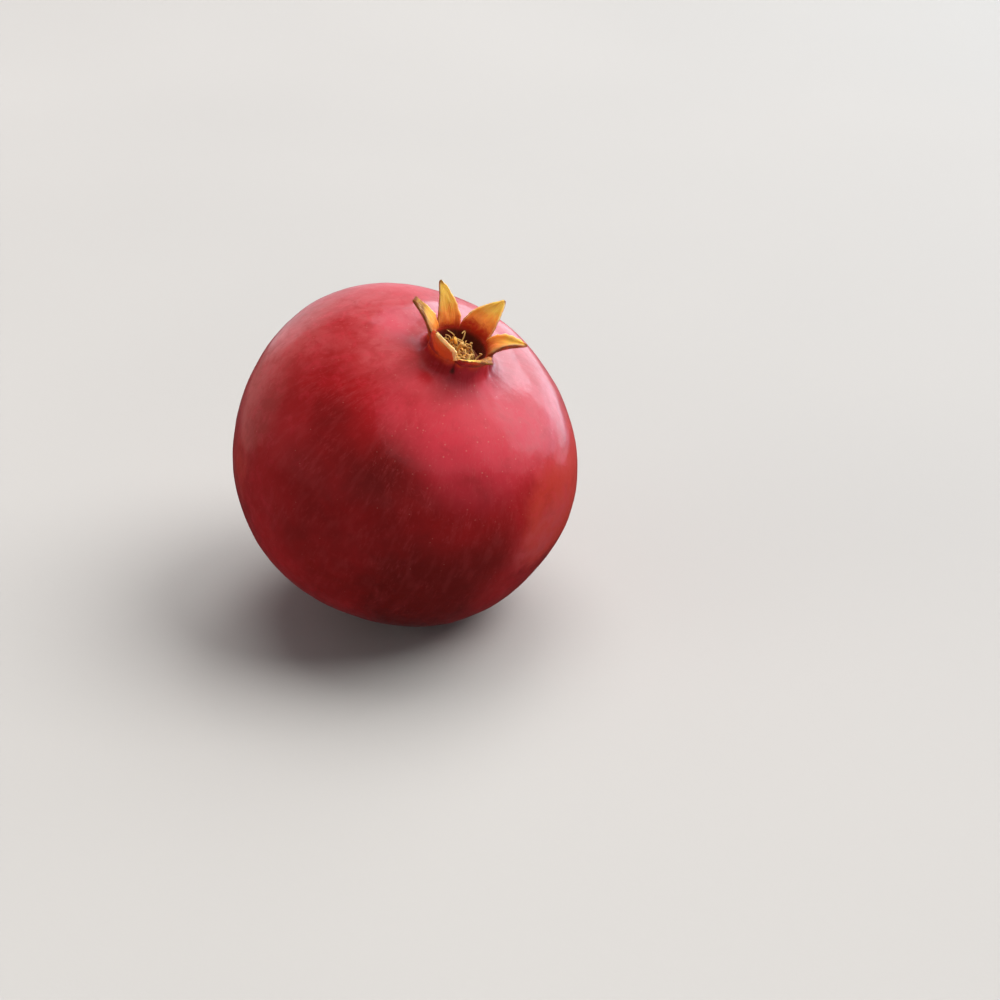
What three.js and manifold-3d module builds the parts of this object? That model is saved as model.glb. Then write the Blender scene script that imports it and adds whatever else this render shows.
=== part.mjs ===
// A whole ripe pomegranate (Punica granatum), as picked, lying a little tipped over on its own flat spot.
//
// The leathery rind, the neck and the six sepals of the crown grow as one piece, so they are one solid.
// The dried stamens stand on their disc inside the crown, and a stub of woody stem is left at the other end.
//
// Lengths are in millimetres and angles in degrees. +Z is up, and the origin is the middle of the flat spot
// that the fruit rests on. Three frames are used:
//   row frame    the part's own, +Z up;
//   fruit frame  origin at the middle of the fruit, +Z out through the crown;
//   crown frame  origin inside the shoulder, below the neck, +Z out through the crown's mouth.

import * as THREE from "three";
import { mergeVertices } from "three/addons/utils/BufferGeometryUtils.js";
import Module from "manifold-3d";

const manifold = await Module();
manifold.setup();

const { abs, acos, cos, exp, max, min, PI, sin, sqrt } = Math;
const { clamp, degToRad, lerp } = THREE.MathUtils;

// ---- Driving dimensions: the fruit -------------------------------------------------------------------

const EQUATOR_RADIUS = 45.3;
const POLAR_RADIUS = 41.8;
const FULLNESS = 2.15; // exponent of the profile's superellipse; 2 is a plain ellipse

const LEAN = 26.8; // how far the crown tips from upright
const LEAN_TOWARDS = -38; // and the way it tips, from +X towards +Y
const MIDDLE = [-3.2, 1.8, 43.36]; // the fruit frame's origin in the row frame; the lowest 1 mm goes flat

// Where the skin swells out from the plain rounded form, or sinks into it.
const SWELLINGS = [
  { polar: 68, azimuth: 137, height: 2.2, spread: 30 },
  { polar: 46, azimuth: 93, height: 1.0, spread: 30 },
  { polar: 52, azimuth: 26, height: 0.8, spread: 30 },
  { polar: 83, azimuth: -15, height: 2.3, spread: 30 },
  { polar: 115, azimuth: -47, height: 1.2, spread: 30 },
  { polar: 136, azimuth: -101, height: -0.6, spread: 30 },
  { polar: 110, azimuth: 178, height: -0.5, spread: 30 },
  { polar: 180, azimuth: 0, height: 2.6, spread: 30 }, // the shoulder that it rests on
  { polar: 0, azimuth: 0, height: -2.2, spread: 20 }, // the hollow round the neck
  { polar: 180, azimuth: 0, height: -4.4, spread: 15 }, // the hollow round the stem
];

// Low ribs from the crown down to the stem, fainter towards the stem.
const RIBS = 6;
const RIB_HEIGHT = 0.35;
const RIB_TURN = 17;
const RIB_FADE = 0.4;

// ---- Driving dimensions: the neck and the crown ------------------------------------------------------

const NECK_FOOT = 21; // polar angle at which the skin turns up into the neck
const NECK_EASE = 4.2; // how far the neck's curve keeps its direction at each end
const CROWN_ORIGIN = 37; // the crown frame's height in the fruit frame
const CROWN_TILT = 8;
const CROWN_TILT_TOWARDS = 130;

const MOUTH_HEIGHT = 7; // in the crown frame
const MOUTH_RADIUS = 8; // to the middle of the wall
const WALL = 1.7;
const CUP_RADIUS = 5.6; // inside, where the wall meets the rounded floor
const CUP_DEPTH = 7;
const CUP_WALL_SHARE = 0.8; // the wall's share of the depth

// The sepals in order round the mouth. azimuth and half are the sector of the mouth that each grows from;
// lean is its angle from the crown's axis above the root and at the tip, side how far its tip goes
// sideways, cup how far its edges curl in, belly how much it widens above the root, tip the width of its end,
// and slant how much further out one side of that end reaches.
const SEPALS = [
  { azimuth: 0, half: 24, length: 10.1, lean: [64, 90], side: 0.4, cup: 1.7, belly: 0.9, tip: 0.6 },
  { azimuth: 56, half: 32, length: 11.0, lean: [34, 42], side: -2.4, cup: 1.0, belly: 1.2, tip: 0.6 },
  { azimuth: 113, half: 25, length: 12.0, lean: [28, 34], side: 2.6, cup: 0.7, belly: 1.05, tip: 0.6 },
  { azimuth: 159.5, half: 21.5, length: 11.0, lean: [42, 50], side: 1.0, cup: 0.9, belly: 1.0, tip: 1.9 },
  { azimuth: 218, half: 37, length: 6.3, lean: [22, 2], side: -0.6, cup: 2.0, belly: 1.2, tip: 1.0 },
  { azimuth: 295.5, half: 40.5, length: 4.5, lean: [42, 50], side: -0.6, cup: 0, belly: 0.5, tip: 5.4,
    slant: 0.9 },
];
const SEPAL_ROOT = 0.3; // share of the length over which a sepal bends away from the neck
const TIP_TAPER = 0.55; // how much thinner a sepal gets towards its tip
const EDGE_TAPER = 0.45; // and towards its sides
const LEAST_WALL = 0.62;

// ---- Driving dimensions: what stands in the crown, and the stem --------------------------------------

const GAP = 0.4; // kept between neighbouring solids

const DISC_RADIUS = 5.2; // of the part of the disc that carries stamens
const DISC_DISH = [1.4, 3.0]; // height of its top in the crown frame, in the middle and at that radius
const DISC_LIP = 3.4;

const STAMENS = 48;
const STAMEN_SEED = 11;
const STAMEN_HEIGHT = [3.9, 6.9]; // of the anthers, in the crown frame
const OUTER_STAMEN_RISE = 0.9; // how much further the outermost ones reach
const STAMEN_REACH = [-1.9, 0.9]; // how far an anther stands out from its root
const STAMEN_CROOK = 0.7;
const FILAMENT_RADIUS = 0.33;
const ROOT_SUNK = 0.5;
const ANTHER_HALF_SIZE = [0.62, 0.5, 0.85];

const STYLE_RADIUS = 0.6;
const STYLE_HEIGHT = 7.6;

const STEM_RADIUS = 2.4;
const STEM_LENGTH = 3.4; // beyond the skin
const STEM_CHAMFER = 0.5;
const COLLAR_RADIUS = 3.3; // the swollen ring where the stem meets the fruit
const COLLAR_HEIGHT = 1.2;
const SOCKET_DEPTH = 1.6;

// ---- Fineness of the mesh, and colours ---------------------------------------------------------------

const COLUMNS = 10; // per sepal, carried down the whole fruit
const SKIN_ROWS = 30;
const EVEN_BELOW = 60; // the columns are evenly spaced this many degrees below the neck's foot
const NECK_ROWS = 6;
const SEPAL_ROWS = 8;
const CUP_RINGS = [0.4, 0.8, 0.9]; // of the way from the mouth to the middle of the floor
const SPINE_STEPS = 48;
const FILAMENT_TAPER = [1.25, 1, 0.9];
const FILAMENT_SIDES = 4;
const STYLE_TAPER = [1.2, 1, 0.95, 1.5, 0.9]; // with a knob near its end
const STYLE_SIDES = 7;
const ROUND_SIDES = 18;

const RIND_RED = new THREE.Color(0.46, 0.03, 0.04);
const CROWN_ORANGE = new THREE.Color(0.6, 0.25, 0.05);
const COLOUR_CHANGE = 2.5; // height above the mouth over which red turns to orange
const STAMEN_COLOUR = new THREE.Color(0.55, 0.34, 0.1);
const STEM_COLOUR = new THREE.Color(0.28, 0.18, 0.09);

// ---- Frames ------------------------------------------------------------------------------------------

// A unit vector at a polar angle from +Z and an azimuth from +X, both in radians.
function direction(polar, azimuth) {
  return new THREE.Vector3(sin(polar) * cos(azimuth), sin(polar) * sin(azimuth), cos(polar));
}

// The fruit frame's turn in the row frame: +Z along the lean, +X as near as can be to the row's +X.
function fruitTurn() {
  const up = direction(degToRad(LEAN), degToRad(LEAN_TOWARDS));
  const right = new THREE.Vector3(1, 0, 0).addScaledVector(up, -up.x).normalize();
  const back = new THREE.Vector3().crossVectors(up, right);
  return new THREE.Quaternion().setFromRotationMatrix(new THREE.Matrix4().makeBasis(right, back, up));
}

// The crown frame's turn in the fruit frame.
function crownTurn() {
  const hinge = direction(PI / 2, degToRad(CROWN_TILT_TOWARDS + 90));
  return new THREE.Quaternion().setFromAxisAngle(hinge, degToRad(CROWN_TILT));
}

const crownToFruit = new THREE.Matrix4().compose(
  new THREE.Vector3(0, 0, CROWN_ORIGIN),
  crownTurn(),
  new THREE.Vector3(1, 1, 1),
);

// ---- Skin --------------------------------------------------------------------------------------------

// A point of the fruit's skin, in the fruit frame. polar and azimuth are in radians, polar 0 at the crown.
function skinPoint(polar, azimuth) {
  const way = direction(polar, azimuth);
  const across = (abs(sin(polar)) / EQUATOR_RADIUS) ** FULLNESS;
  const along = (abs(cos(polar)) / POLAR_RADIUS) ** FULLNESS;
  let radius = (across + along) ** (-1 / FULLNESS);
  for (const s of SWELLINGS) {
    const away = acos(clamp(way.dot(direction(degToRad(s.polar), degToRad(s.azimuth))), -1, 1));
    radius += s.height * exp(-((away / degToRad(s.spread)) ** 2));
  }
  const fade = 1 - RIB_FADE * (1 - cos(polar));
  radius += RIB_HEIGHT * fade * cos(RIBS * azimuth + degToRad(RIB_TURN)) * sin(polar) ** 2;
  return way.multiplyScalar(radius);
}

// ---- Sepals ------------------------------------------------------------------------------------------

// A sepal's lean from the crown's axis, in radians, at a share of its length.
function leanAt(sepal, along) {
  const [root, tip] = sepal.lean;
  if (along >= SEPAL_ROOT) return degToRad(lerp(root, tip, (along - SEPAL_ROOT) / (1 - SEPAL_ROOT)));
  const share = along / SEPAL_ROOT;
  return degToRad(root) * share * (2 - share);
}

// How far out and up the sepal's middle line has gone, from the mouth to a share of its length.
function spineAt(sepal, along) {
  const step = along / SPINE_STEPS;
  let out = 0;
  let up = 0;
  for (let i = 0; i < SPINE_STEPS; i++) {
    const lean = leanAt(sepal, (i + 0.5) * step);
    out += sin(lean) * step * sepal.length;
    up += cos(lean) * step * sepal.length;
  }
  return { out, up };
}

// A point of the sepal's middle surface, in the crown frame. across runs from -1 to 1 and along from 0 to 1.
// At its root the sepal follows the round of the mouth. Above it the edges curl in by the sepal's own cup.
function sepalPoint(sepal, across, along) {
  const half = degToRad(sepal.half);
  const rootWidth = MOUTH_RADIUS * sin(half);
  const width = rootWidth * (1 - along) * (1 + sepal.belly * along) + (sepal.tip / 2) * along ** 2;
  const arc = 1 - cos(across * half);
  const curlAlong = 2.8 * along * (1 - along) + 0.3 * along;
  const curl = (arc / (1 - cos(half))) * sepal.cup * curlAlong * min(1, width / rootWidth + 0.2);
  const inward = MOUTH_RADIUS * arc * (1 - along) ** 1.5 + curl;
  const lean = leanAt(sepal, along) * min(1, along / SEPAL_ROOT);
  const { out, up } = spineAt(sepal, along);
  const x = MOUTH_RADIUS + out - inward * cos(lean) + (sepal.slant ?? 0) * across * along;
  const y = (sin(across * half) / sin(half)) * width + sepal.side * along ** 1.5;
  const z = MOUTH_HEIGHT + up + inward * sin(lean);
  return new THREE.Vector3(x, y, z).applyAxisAngle(new THREE.Vector3(0, 0, 1), degToRad(sepal.azimuth));
}

// The middle surface's outward normal. At the mouth it is level, so that the wall is as thick as the neck's.
function sepalNormal(sepal, across, along) {
  if (along === 0) return direction(PI / 2, degToRad(sepal.azimuth + across * sepal.half));
  const h = 1e-3;
  const sideways = sepalPoint(sepal, across + h, along).sub(sepalPoint(sepal, across - h, along));
  const upwards = sepalPoint(sepal, across, min(along + h, 1)).sub(sepalPoint(sepal, across, along - h));
  return sideways.cross(upwards).normalize();
}

// Rows of points up one face of a sepal, in the fruit frame: side is 1 for the outer face, -1 for the inner.
function sepalFace(sepal, side) {
  const rows = [];
  for (let r = 0; r <= SEPAL_ROWS; r++) {
    const along = r / SEPAL_ROWS;
    const row = [];
    for (let c = 0; c <= COLUMNS; c++) {
      const across = -1 + (2 * c) / COLUMNS;
      const tapered = WALL * (1 - TIP_TAPER * along) * (1 - EDGE_TAPER * across ** 2);
      const thick = along === 0 ? WALL : max(tapered, LEAST_WALL);
      const normal = sepalNormal(sepal, across, along);
      const point = sepalPoint(sepal, across, along).addScaledVector(normal, (side * thick) / 2);
      row.push(point.applyMatrix4(crownToFruit));
    }
    rows.push(row);
  }
  return rows;
}

// ---- Meshes and solids -------------------------------------------------------------------------------

// Collects points and faces, and gives them back as a BufferGeometry.
class Sheet {
  points = [];
  triangles = [];

  add(points) {
    const first = this.points.length;
    this.points.push(...points);
    return points.map((_, i) => first + i);
  }

  quad(a, b, c, d) {
    this.triangles.push(a, b, c, a, c, d);
  }

  // Joins two rows of the same length.
  strip(low, high) {
    for (let i = 1; i < low.length; i++) this.quad(low[i - 1], low[i], high[i], high[i - 1]);
  }

  // The same, facing the other way, with each quad split along the same diagonal.
  backStrip(low, high) {
    for (let i = 1; i < low.length; i++) this.quad(low[i - 1], high[i - 1], high[i], low[i]);
  }

  // The same as strip, for two closed rings.
  band(low, high) {
    this.strip([...low, low[0]], [...high, high[0]]);
  }

  fan(centre, ring) {
    ring.forEach((a, i) => this.triangles.push(centre, a, ring[(i + 1) % ring.length]));
  }

  geometry() {
    const made = new THREE.BufferGeometry().setFromPoints(this.points);
    return made.setIndex(this.triangles);
  }
}

function solidOf(geometry) {
  const bare = new THREE.BufferGeometry().setAttribute("position", geometry.getAttribute("position"));
  bare.setIndex(geometry.index);
  const merged = mergeVertices(bare, 1e-4);
  const mesh = new manifold.Mesh({
    numProp: 3,
    vertProperties: merged.attributes.position.array,
    triVerts: new Uint32Array(merged.index.array),
  });
  return new manifold.Manifold(mesh);
}

function geometryOf(solid) {
  const { vertProperties, triVerts } = solid.getMesh();
  const made = new THREE.BufferGeometry();
  made.setAttribute("position", new THREE.BufferAttribute(vertProperties, 3));
  made.setIndex(new THREE.BufferAttribute(triVerts, 1));
  made.computeVertexNormals();
  return made;
}

// A turned shape about +Z. The profile is a list of [radius, height] that starts and ends on the axis.
function turnedSolid(profile) {
  const lathe = new THREE.LatheGeometry(profile.map(([r, z]) => new THREE.Vector2(r, z)), ROUND_SIDES);
  return solidOf(lathe.rotateX(PI / 2));
}

// A closed tube along a curve, with one radius for each ring.
function tubeSolid(curve, radii, sides) {
  const sheet = new Sheet();
  const steps = radii.length - 1;
  const frames = curve.computeFrenetFrames(steps, false);
  const rings = radii.map((radius, r) => {
    const middle = curve.getPointAt(r / steps);
    const ring = Array.from({ length: sides }, (_, s) => {
      const turn = (s / sides) * 2 * PI;
      const point = middle.clone().addScaledVector(frames.normals[r], radius * cos(turn));
      return point.addScaledVector(frames.binormals[r], radius * sin(turn));
    });
    return sheet.add(ring);
  });
  for (let r = 1; r < rings.length; r++) sheet.band(rings[r - 1], rings[r]);
  const [start, end] = sheet.add([curve.getPointAt(0), curve.getPointAt(1)]);
  sheet.fan(start, rings[0].toReversed());
  sheet.fan(end, rings.at(-1));
  return solidOf(sheet.geometry());
}

// ---- Rind, neck and sepals: one closed surface -------------------------------------------------------

// Radius of the cup's wall at a height in the crown frame.
function cupWallRadius(height) {
  const share = (MOUTH_HEIGHT - height) / (CUP_DEPTH * CUP_WALL_SHARE);
  return lerp(MOUTH_RADIUS - WALL / 2, CUP_RADIUS, clamp(share, 0, 1));
}

// A ring of points inside the cup: down its wall, then in over a floor that is a quarter of an ellipse.
function cupRing(azimuths, share) {
  const wallShare = min(1, share / CUP_WALL_SHARE);
  const turn = max(0, (share - CUP_WALL_SHARE) / (1 - CUP_WALL_SHARE)) * (PI / 2);
  const depth = CUP_DEPTH * (CUP_WALL_SHARE * wallShare + (1 - CUP_WALL_SHARE) * sin(turn));
  const radius = cupWallRadius(MOUTH_HEIGHT - depth) * cos(turn);
  return azimuths.map((a) => {
    const point = new THREE.Vector3(radius * cos(a), radius * sin(a), MOUTH_HEIGHT - depth);
    return point.applyMatrix4(crownToFruit);
  });
}

function rindGeometry() {
  const sheet = new Sheet();
  const outerFaces = SEPALS.map((s) => sepalFace(s, 1));
  const innerFaces = SEPALS.map((s) => sepalFace(s, -1));

  // One column of points for each step round the mouth, eased to even steps further down.
  const azimuths = SEPALS.flatMap((s) =>
    Array.from({ length: COLUMNS }, (_, c) => degToRad(s.azimuth + s.half * (-1 + (2 * c) / COLUMNS))),
  );
  const evenly = (i) => azimuths[0] + (i / azimuths.length) * 2 * PI;

  // The skin, from the stem up to the foot of the neck.
  const foot = degToRad(NECK_FOOT);
  const rings = [];
  for (let r = 1; r <= SKIN_ROWS; r++) {
    const polar = lerp(PI, foot, r / SKIN_ROWS);
    const ease = clamp((polar - foot) / degToRad(EVEN_BELOW), 0, 1);
    rings.push(azimuths.map((a, i) => skinPoint(polar, lerp(a, evenly(i), ease))));
  }

  // The neck: from the skin's own slope to the crown's axis, along a cubic curve in each column.
  const mouth = outerFaces.flatMap((face) => face[0].slice(0, -1));
  const axis = new THREE.Vector3(0, 0, 1).transformDirection(crownToFruit);
  const curves = azimuths.map((a, i) => {
    const start = rings.at(-1)[i];
    const slope = skinPoint(foot - 0.01, a).sub(start).normalize();
    return new THREE.CubicBezierCurve3(
      start,
      start.clone().addScaledVector(slope, NECK_EASE),
      mouth[i].clone().addScaledVector(axis, -NECK_EASE),
      mouth[i],
    );
  });
  for (let r = 1; r < NECK_ROWS; r++) rings.push(curves.map((curve) => curve.getPoint(r / NECK_ROWS)));
  rings.push(mouth);

  const outer = rings.map((ring) => sheet.add(ring));
  const [stemPole] = sheet.add([skinPoint(PI, 0)]);
  sheet.fan(stemPole, outer[0].toReversed());
  for (let r = 1; r < outer.length; r++) sheet.band(outer[r - 1], outer[r]);

  // The cup, from the mouth down to the middle of its floor.
  const cup = CUP_RINGS.map((share) => cupRing(azimuths, share));
  cup.unshift(innerFaces.flatMap((face) => face[0].slice(0, -1)));
  const inner = cup.map((ring) => sheet.add(ring));
  const [cupFloor] = sheet.add(cupRing([0], 1));
  for (let r = 1; r < inner.length; r++) sheet.band(inner[r - 1], inner[r]);
  sheet.fan(cupFloor, inner.at(-1));

  // Each sepal carries the mouth's outer and inner rings up to its tip.
  SEPALS.forEach((_, k) => {
    const atMouth = Array.from({ length: COLUMNS + 1 }, (_, c) => (k * COLUMNS + c) % azimuths.length);
    const out = outerFaces[k].map((row, r) => (r ? sheet.add(row) : atMouth.map((i) => outer.at(-1)[i])));
    const back = innerFaces[k].map((row, r) => (r ? sheet.add(row) : atMouth.map((i) => inner[0][i])));
    for (let r = 1; r <= SEPAL_ROWS; r++) {
      sheet.strip(out[r - 1], out[r]);
      sheet.backStrip(back[r - 1], back[r]);
      sheet.quad(back[r - 1][0], out[r - 1][0], out[r][0], back[r][0]);
      sheet.quad(out[r - 1].at(-1), back[r - 1].at(-1), back[r].at(-1), out[r].at(-1));
    }
    sheet.strip(out.at(-1), back.at(-1));
  });
  return sheet.geometry();
}

// Red skin that turns orange over the sepals.
function paintRind(geometry) {
  const fruitToCrown = crownToFruit.clone().invert();
  const position = geometry.getAttribute("position");
  const point = new THREE.Vector3();
  const shade = new THREE.Color();
  const colours = [];
  for (let i = 0; i < position.count; i++) {
    point.fromBufferAttribute(position, i).applyMatrix4(fruitToCrown);
    shade.lerpColors(RIND_RED, CROWN_ORANGE, clamp((point.z - MOUTH_HEIGHT) / COLOUR_CHANGE, 0, 1));
    colours.push(shade.r, shade.g, shade.b);
  }
  geometry.setAttribute("color", new THREE.Float32BufferAttribute(colours, 3));
}

// ---- Stamens -----------------------------------------------------------------------------------------

// Numbers from 0 to 1 that are the same every time.
function seededRandom(seed) {
  let state = seed;
  return () => {
    state = (Math.imul(state, 1664525) + 1013904223) >>> 0;
    return state / 2 ** 32;
  };
}

function discTop(radius) {
  return lerp(...DISC_DISH, min(1, radius / DISC_RADIUS) ** 2);
}

// The dried disc that lines the bottom of the cup, on which the stamens stand.
function discSolid() {
  const floorHeight = MOUTH_HEIGHT - CUP_DEPTH;
  const wallFoot = MOUTH_HEIGHT - CUP_DEPTH * CUP_WALL_SHARE;
  return turnedSolid([
    [0, floorHeight + GAP],
    [CUP_RADIUS * 0.6, floorHeight + 2 * GAP],
    [CUP_RADIUS - 1, wallFoot],
    [CUP_RADIUS - GAP, wallFoot + 0.6],
    [cupWallRadius(DISC_LIP) - GAP, DISC_LIP],
    [DISC_RADIUS, discTop(DISC_RADIUS)],
    [DISC_RADIUS / 2, discTop(DISC_RADIUS / 2)],
    [0, discTop(0)],
  ]);
}

// One dried stamen: a crooked filament with a bean-shaped anther on its end.
function stamenSolid(index, random) {
  const goldenAngle = PI * (3 - sqrt(5));
  const share = (index + 0.5) / STAMENS;
  const azimuth = index * goldenAngle + (random() - 0.5) * STAMEN_CROOK;
  const rootRadius = DISC_RADIUS * lerp(0.25, 0.97, sqrt(share));
  const height = lerp(...STAMEN_HEIGHT, random()) + OUTER_STAMEN_RISE * share;
  const [, , longest] = ANTHER_HALF_SIZE;
  const mostReach = cupWallRadius(height) - longest - 1.6 * GAP;
  const reach = clamp(rootRadius + lerp(...STAMEN_REACH, random()), 0.5, mostReach);
  const twist = azimuth + (random() - 0.5) * 2 * STAMEN_CROOK;
  const root = direction(PI / 2, azimuth).multiplyScalar(rootRadius).setZ(discTop(rootRadius) - ROOT_SUNK);
  const tip = direction(PI / 2, twist).multiplyScalar(reach).setZ(height);
  const bend = root.clone().lerp(tip, 0.55);
  bend.x += (random() - 0.5) * 2 * STAMEN_CROOK;
  bend.y += (random() - 0.5) * 2 * STAMEN_CROOK;
  const radii = FILAMENT_TAPER.map((share) => share * FILAMENT_RADIUS);
  const filament = tubeSolid(new THREE.QuadraticBezierCurve3(root, bend, tip), radii, FILAMENT_SIDES);

  const anther = new THREE.IcosahedronGeometry(1, 0).scale(...ANTHER_HALF_SIZE);
  const nod = new THREE.Euler(random() * PI, random() * PI, random() * PI);
  anther.applyQuaternion(new THREE.Quaternion().setFromEuler(nod)).translate(tip.x, tip.y, tip.z);
  return filament.add(solidOf(anther));
}

function styleSolid() {
  const root = new THREE.Vector3(0, 0, discTop(0) - ROOT_SUNK);
  const bend = new THREE.Vector3(-0.3, 0.2, STYLE_HEIGHT * 0.6);
  const tip = new THREE.Vector3(0.5, 0.3, STYLE_HEIGHT);
  const radii = STYLE_TAPER.map((share) => share * STYLE_RADIUS);
  return tubeSolid(new THREE.QuadraticBezierCurve3(root, bend, tip), radii, STYLE_SIDES);
}

function stamensGeometry() {
  const random = seededRandom(STAMEN_SEED);
  let whole = discSolid().add(styleSolid());
  for (let i = 0; i < STAMENS; i++) whole = whole.add(stamenSolid(i, random));
  return geometryOf(whole);
}

// ---- Stem --------------------------------------------------------------------------------------------

// The woody stub stands in a plain socket at the far end from the crown. Its heights are in the fruit frame.
function stemGeometry() {
  const skin = skinPoint(PI, 0).z;
  const top = skin + SOCKET_DEPTH - GAP;
  const end = skin - STEM_LENGTH;
  const collarTop = skin - GAP;
  const collarFoot = collarTop - COLLAR_HEIGHT;
  const collarEdge = lerp(collarTop, collarFoot, 0.5);
  const stem = turnedSolid([
    [0, end - STEM_CHAMFER / 4],
    [STEM_RADIUS - STEM_CHAMFER, end],
    [STEM_RADIUS, end + STEM_CHAMFER],
    [STEM_RADIUS, collarFoot],
    [COLLAR_RADIUS, collarEdge],
    [COLLAR_RADIUS - STEM_CHAMFER, collarTop],
    [STEM_RADIUS, collarTop],
    [STEM_RADIUS, top],
    [0, top],
  ]);
  return geometryOf(stem);
}

function socketSolid() {
  const radius = STEM_RADIUS + GAP;
  const hole = new THREE.CylinderGeometry(radius, radius, 2 * SOCKET_DEPTH, ROUND_SIDES);
  return solidOf(hole.rotateX(PI / 2).translate(0, 0, skinPoint(PI, 0).z));
}

// ---- The fruit ---------------------------------------------------------------------------------------

function matte(settings) {
  return new THREE.MeshStandardMaterial({ roughness: 0.85, metalness: 0, ...settings });
}

const fruit = new THREE.Group();
fruit.quaternion.copy(fruitTurn());

fruit.position.set(...MIDDLE);
fruit.updateMatrix();

// What of the skin would be below the ground is cut away, which leaves the flat spot.
const ground = new THREE.BoxGeometry(100, 100, 20).translate(0, 0, -10);
ground.applyMatrix4(fruit.matrix.clone().invert());

const rindShape = geometryOf(solidOf(rindGeometry()).subtract(solidOf(ground)).subtract(socketSolid()));
paintRind(rindShape);
const rind = new THREE.Mesh(rindShape, matte({ vertexColors: true, roughness: 0.42 }));
rind.name = "rind";

const stamens = new THREE.Mesh(stamensGeometry(), matte({ color: STAMEN_COLOUR }));
stamens.name = "stamens";
const crown = new THREE.Group();
crown.position.set(0, 0, CROWN_ORIGIN);
crown.quaternion.copy(crownTurn());
crown.add(stamens);

const stem = new THREE.Mesh(stemGeometry(), matte({ color: STEM_COLOUR, roughness: 0.9 }));
stem.name = "stem_stub";

fruit.add(rind, crown, stem);

const part = new THREE.Group();
part.add(fruit);

export default part;
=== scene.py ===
"""A whole ripe pomegranate: its looks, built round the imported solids.

The shapes follow the part's own source, on a much finer mesh, with the relief and the colours that the
solids leave out. Lengths are in millimetres until a mesh is made, and Blender's own values are in metres.
Angles with a name are in degrees, and functions take radians. Three frames are used:
  row frame    the part's own, +Z up, origin at the middle of the flat spot;
  fruit frame  origin at the middle of the fruit, +Z out through the crown;
  crown frame  origin inside the shoulder, below the neck, +Z out through the crown's mouth.
"""
from collections import namedtuple
from math import atan, prod

import bpy
import numpy as np
from mathutils import Matrix, Vector, noise
from numpy import arange, array, clip, concatenate, cos, cross, cumsum, degrees, exp, full_like, interp
from numpy import linspace, maximum, minimum, pi, radians, sin, sqrt, stack, where, zeros, zeros_like


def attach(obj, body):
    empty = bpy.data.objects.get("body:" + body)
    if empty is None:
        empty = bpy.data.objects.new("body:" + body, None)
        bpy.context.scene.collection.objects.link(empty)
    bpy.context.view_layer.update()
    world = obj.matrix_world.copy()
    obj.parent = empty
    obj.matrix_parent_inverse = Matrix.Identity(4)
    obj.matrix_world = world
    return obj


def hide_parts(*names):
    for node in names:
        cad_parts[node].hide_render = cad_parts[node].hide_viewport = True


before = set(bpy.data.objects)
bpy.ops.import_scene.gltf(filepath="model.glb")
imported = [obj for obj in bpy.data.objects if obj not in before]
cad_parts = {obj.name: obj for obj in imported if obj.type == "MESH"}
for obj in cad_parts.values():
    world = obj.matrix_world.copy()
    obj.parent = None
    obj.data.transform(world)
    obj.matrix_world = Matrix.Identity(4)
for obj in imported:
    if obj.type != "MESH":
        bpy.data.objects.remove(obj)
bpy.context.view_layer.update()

MM = 0.001

# ---- Driving dimensions: the fruit ----

EQUATOR_RADIUS = 45.3
POLAR_RADIUS = 41.8
FULLNESS = 2.15  # exponent of the profile, where 2 is a plain ellipse

LEAN = 26.8  # how far the crown tips from upright
LEAN_TOWARDS = -38  # and the way it tips, from +X towards +Y
MIDDLE = array([-3.2, 1.8, 43.36])  # the fruit frame's origin in the row frame

# Where the skin swells out or sinks in: polar angle, azimuth, height and spread.
SWELLINGS = [
    (68, 137, 2.2, 30), (46, 93, 1.0, 30), (52, 26, 0.8, 30), (83, -15, 2.3, 30),
    (115, -47, 1.2, 30), (136, -101, -0.6, 30), (110, 178, -0.5, 30), (180, 0, 2.6, 30),
    (0, 0, -2.2, 20), (180, 0, -4.4, 15),
]

# Low ribs from the crown down to the stem, fainter towards the stem.
RIBS = 6
RIB_HEIGHT = 0.35
RIB_TURN = 17
RIB_FADE = 0.4

# ---- Driving dimensions: the neck and the crown ----

NECK_FOOT = 21  # polar angle at which the skin turns up into the neck
NECK_EASE = 4.2  # how far it keeps its direction at each end
CROWN_ORIGIN = 37  # the crown frame's height in the fruit frame
CROWN_TILT = 8
CROWN_TILT_TOWARDS = 130

MOUTH_HEIGHT = 7  # in the crown frame
MOUTH_RADIUS = 8  # to the middle of the wall
WALL = 1.7
CUP_RADIUS = 5.6  # inside, where the wall meets the rounded floor
CUP_DEPTH = 7
CUP_WALL_SHARE = 0.8  # the wall's share of the depth

# The sepals in order round the mouth. half is half of the sector, lean is given at the root and at the tip,
# side is the tip's shift, cup is the edges' curl, tip is the end's width, and slant is how much further one
# side of the end reaches.
Sepal = namedtuple("Sepal", "azimuth half length lean side cup belly tip slant")
SEPALS = [
    Sepal(0, 24, 10.1, (64, 90), 0.4, 1.7, 0.9, 0.6, 0),
    Sepal(56, 32, 11.0, (34, 42), -2.4, 1.0, 1.2, 0.6, 0),
    Sepal(113, 25, 12.0, (28, 34), 2.6, 0.7, 1.05, 0.6, 0),
    Sepal(159.5, 21.5, 11.0, (42, 50), 1.0, 0.9, 1.0, 1.9, 0),
    Sepal(218, 37, 6.3, (22, 2), -0.6, 2.0, 1.2, 1.0, 0),
    Sepal(295.5, 40.5, 4.5, (42, 50), -0.6, 0, 0.5, 5.4, 0.9),
]
SEPAL_ROOT = 0.3  # share of the length over which a sepal bends away from the neck
SEPAL_EASE = 1.5  # exponent by which it leaves the round of the mouth
CURL_MIDDLE = 2.8  # how strongly its edges curl along it, and at its tip
CURL_TIP = 0.3
CURL_SPARE = 0.2  # share of its width that it loses before they curl less
TIP_TAPER = 0.55  # how much thinner a sepal gets towards its tip
EDGE_TAPER = 0.45  # and towards its sides
LEAST_WALL = 0.62

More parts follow.
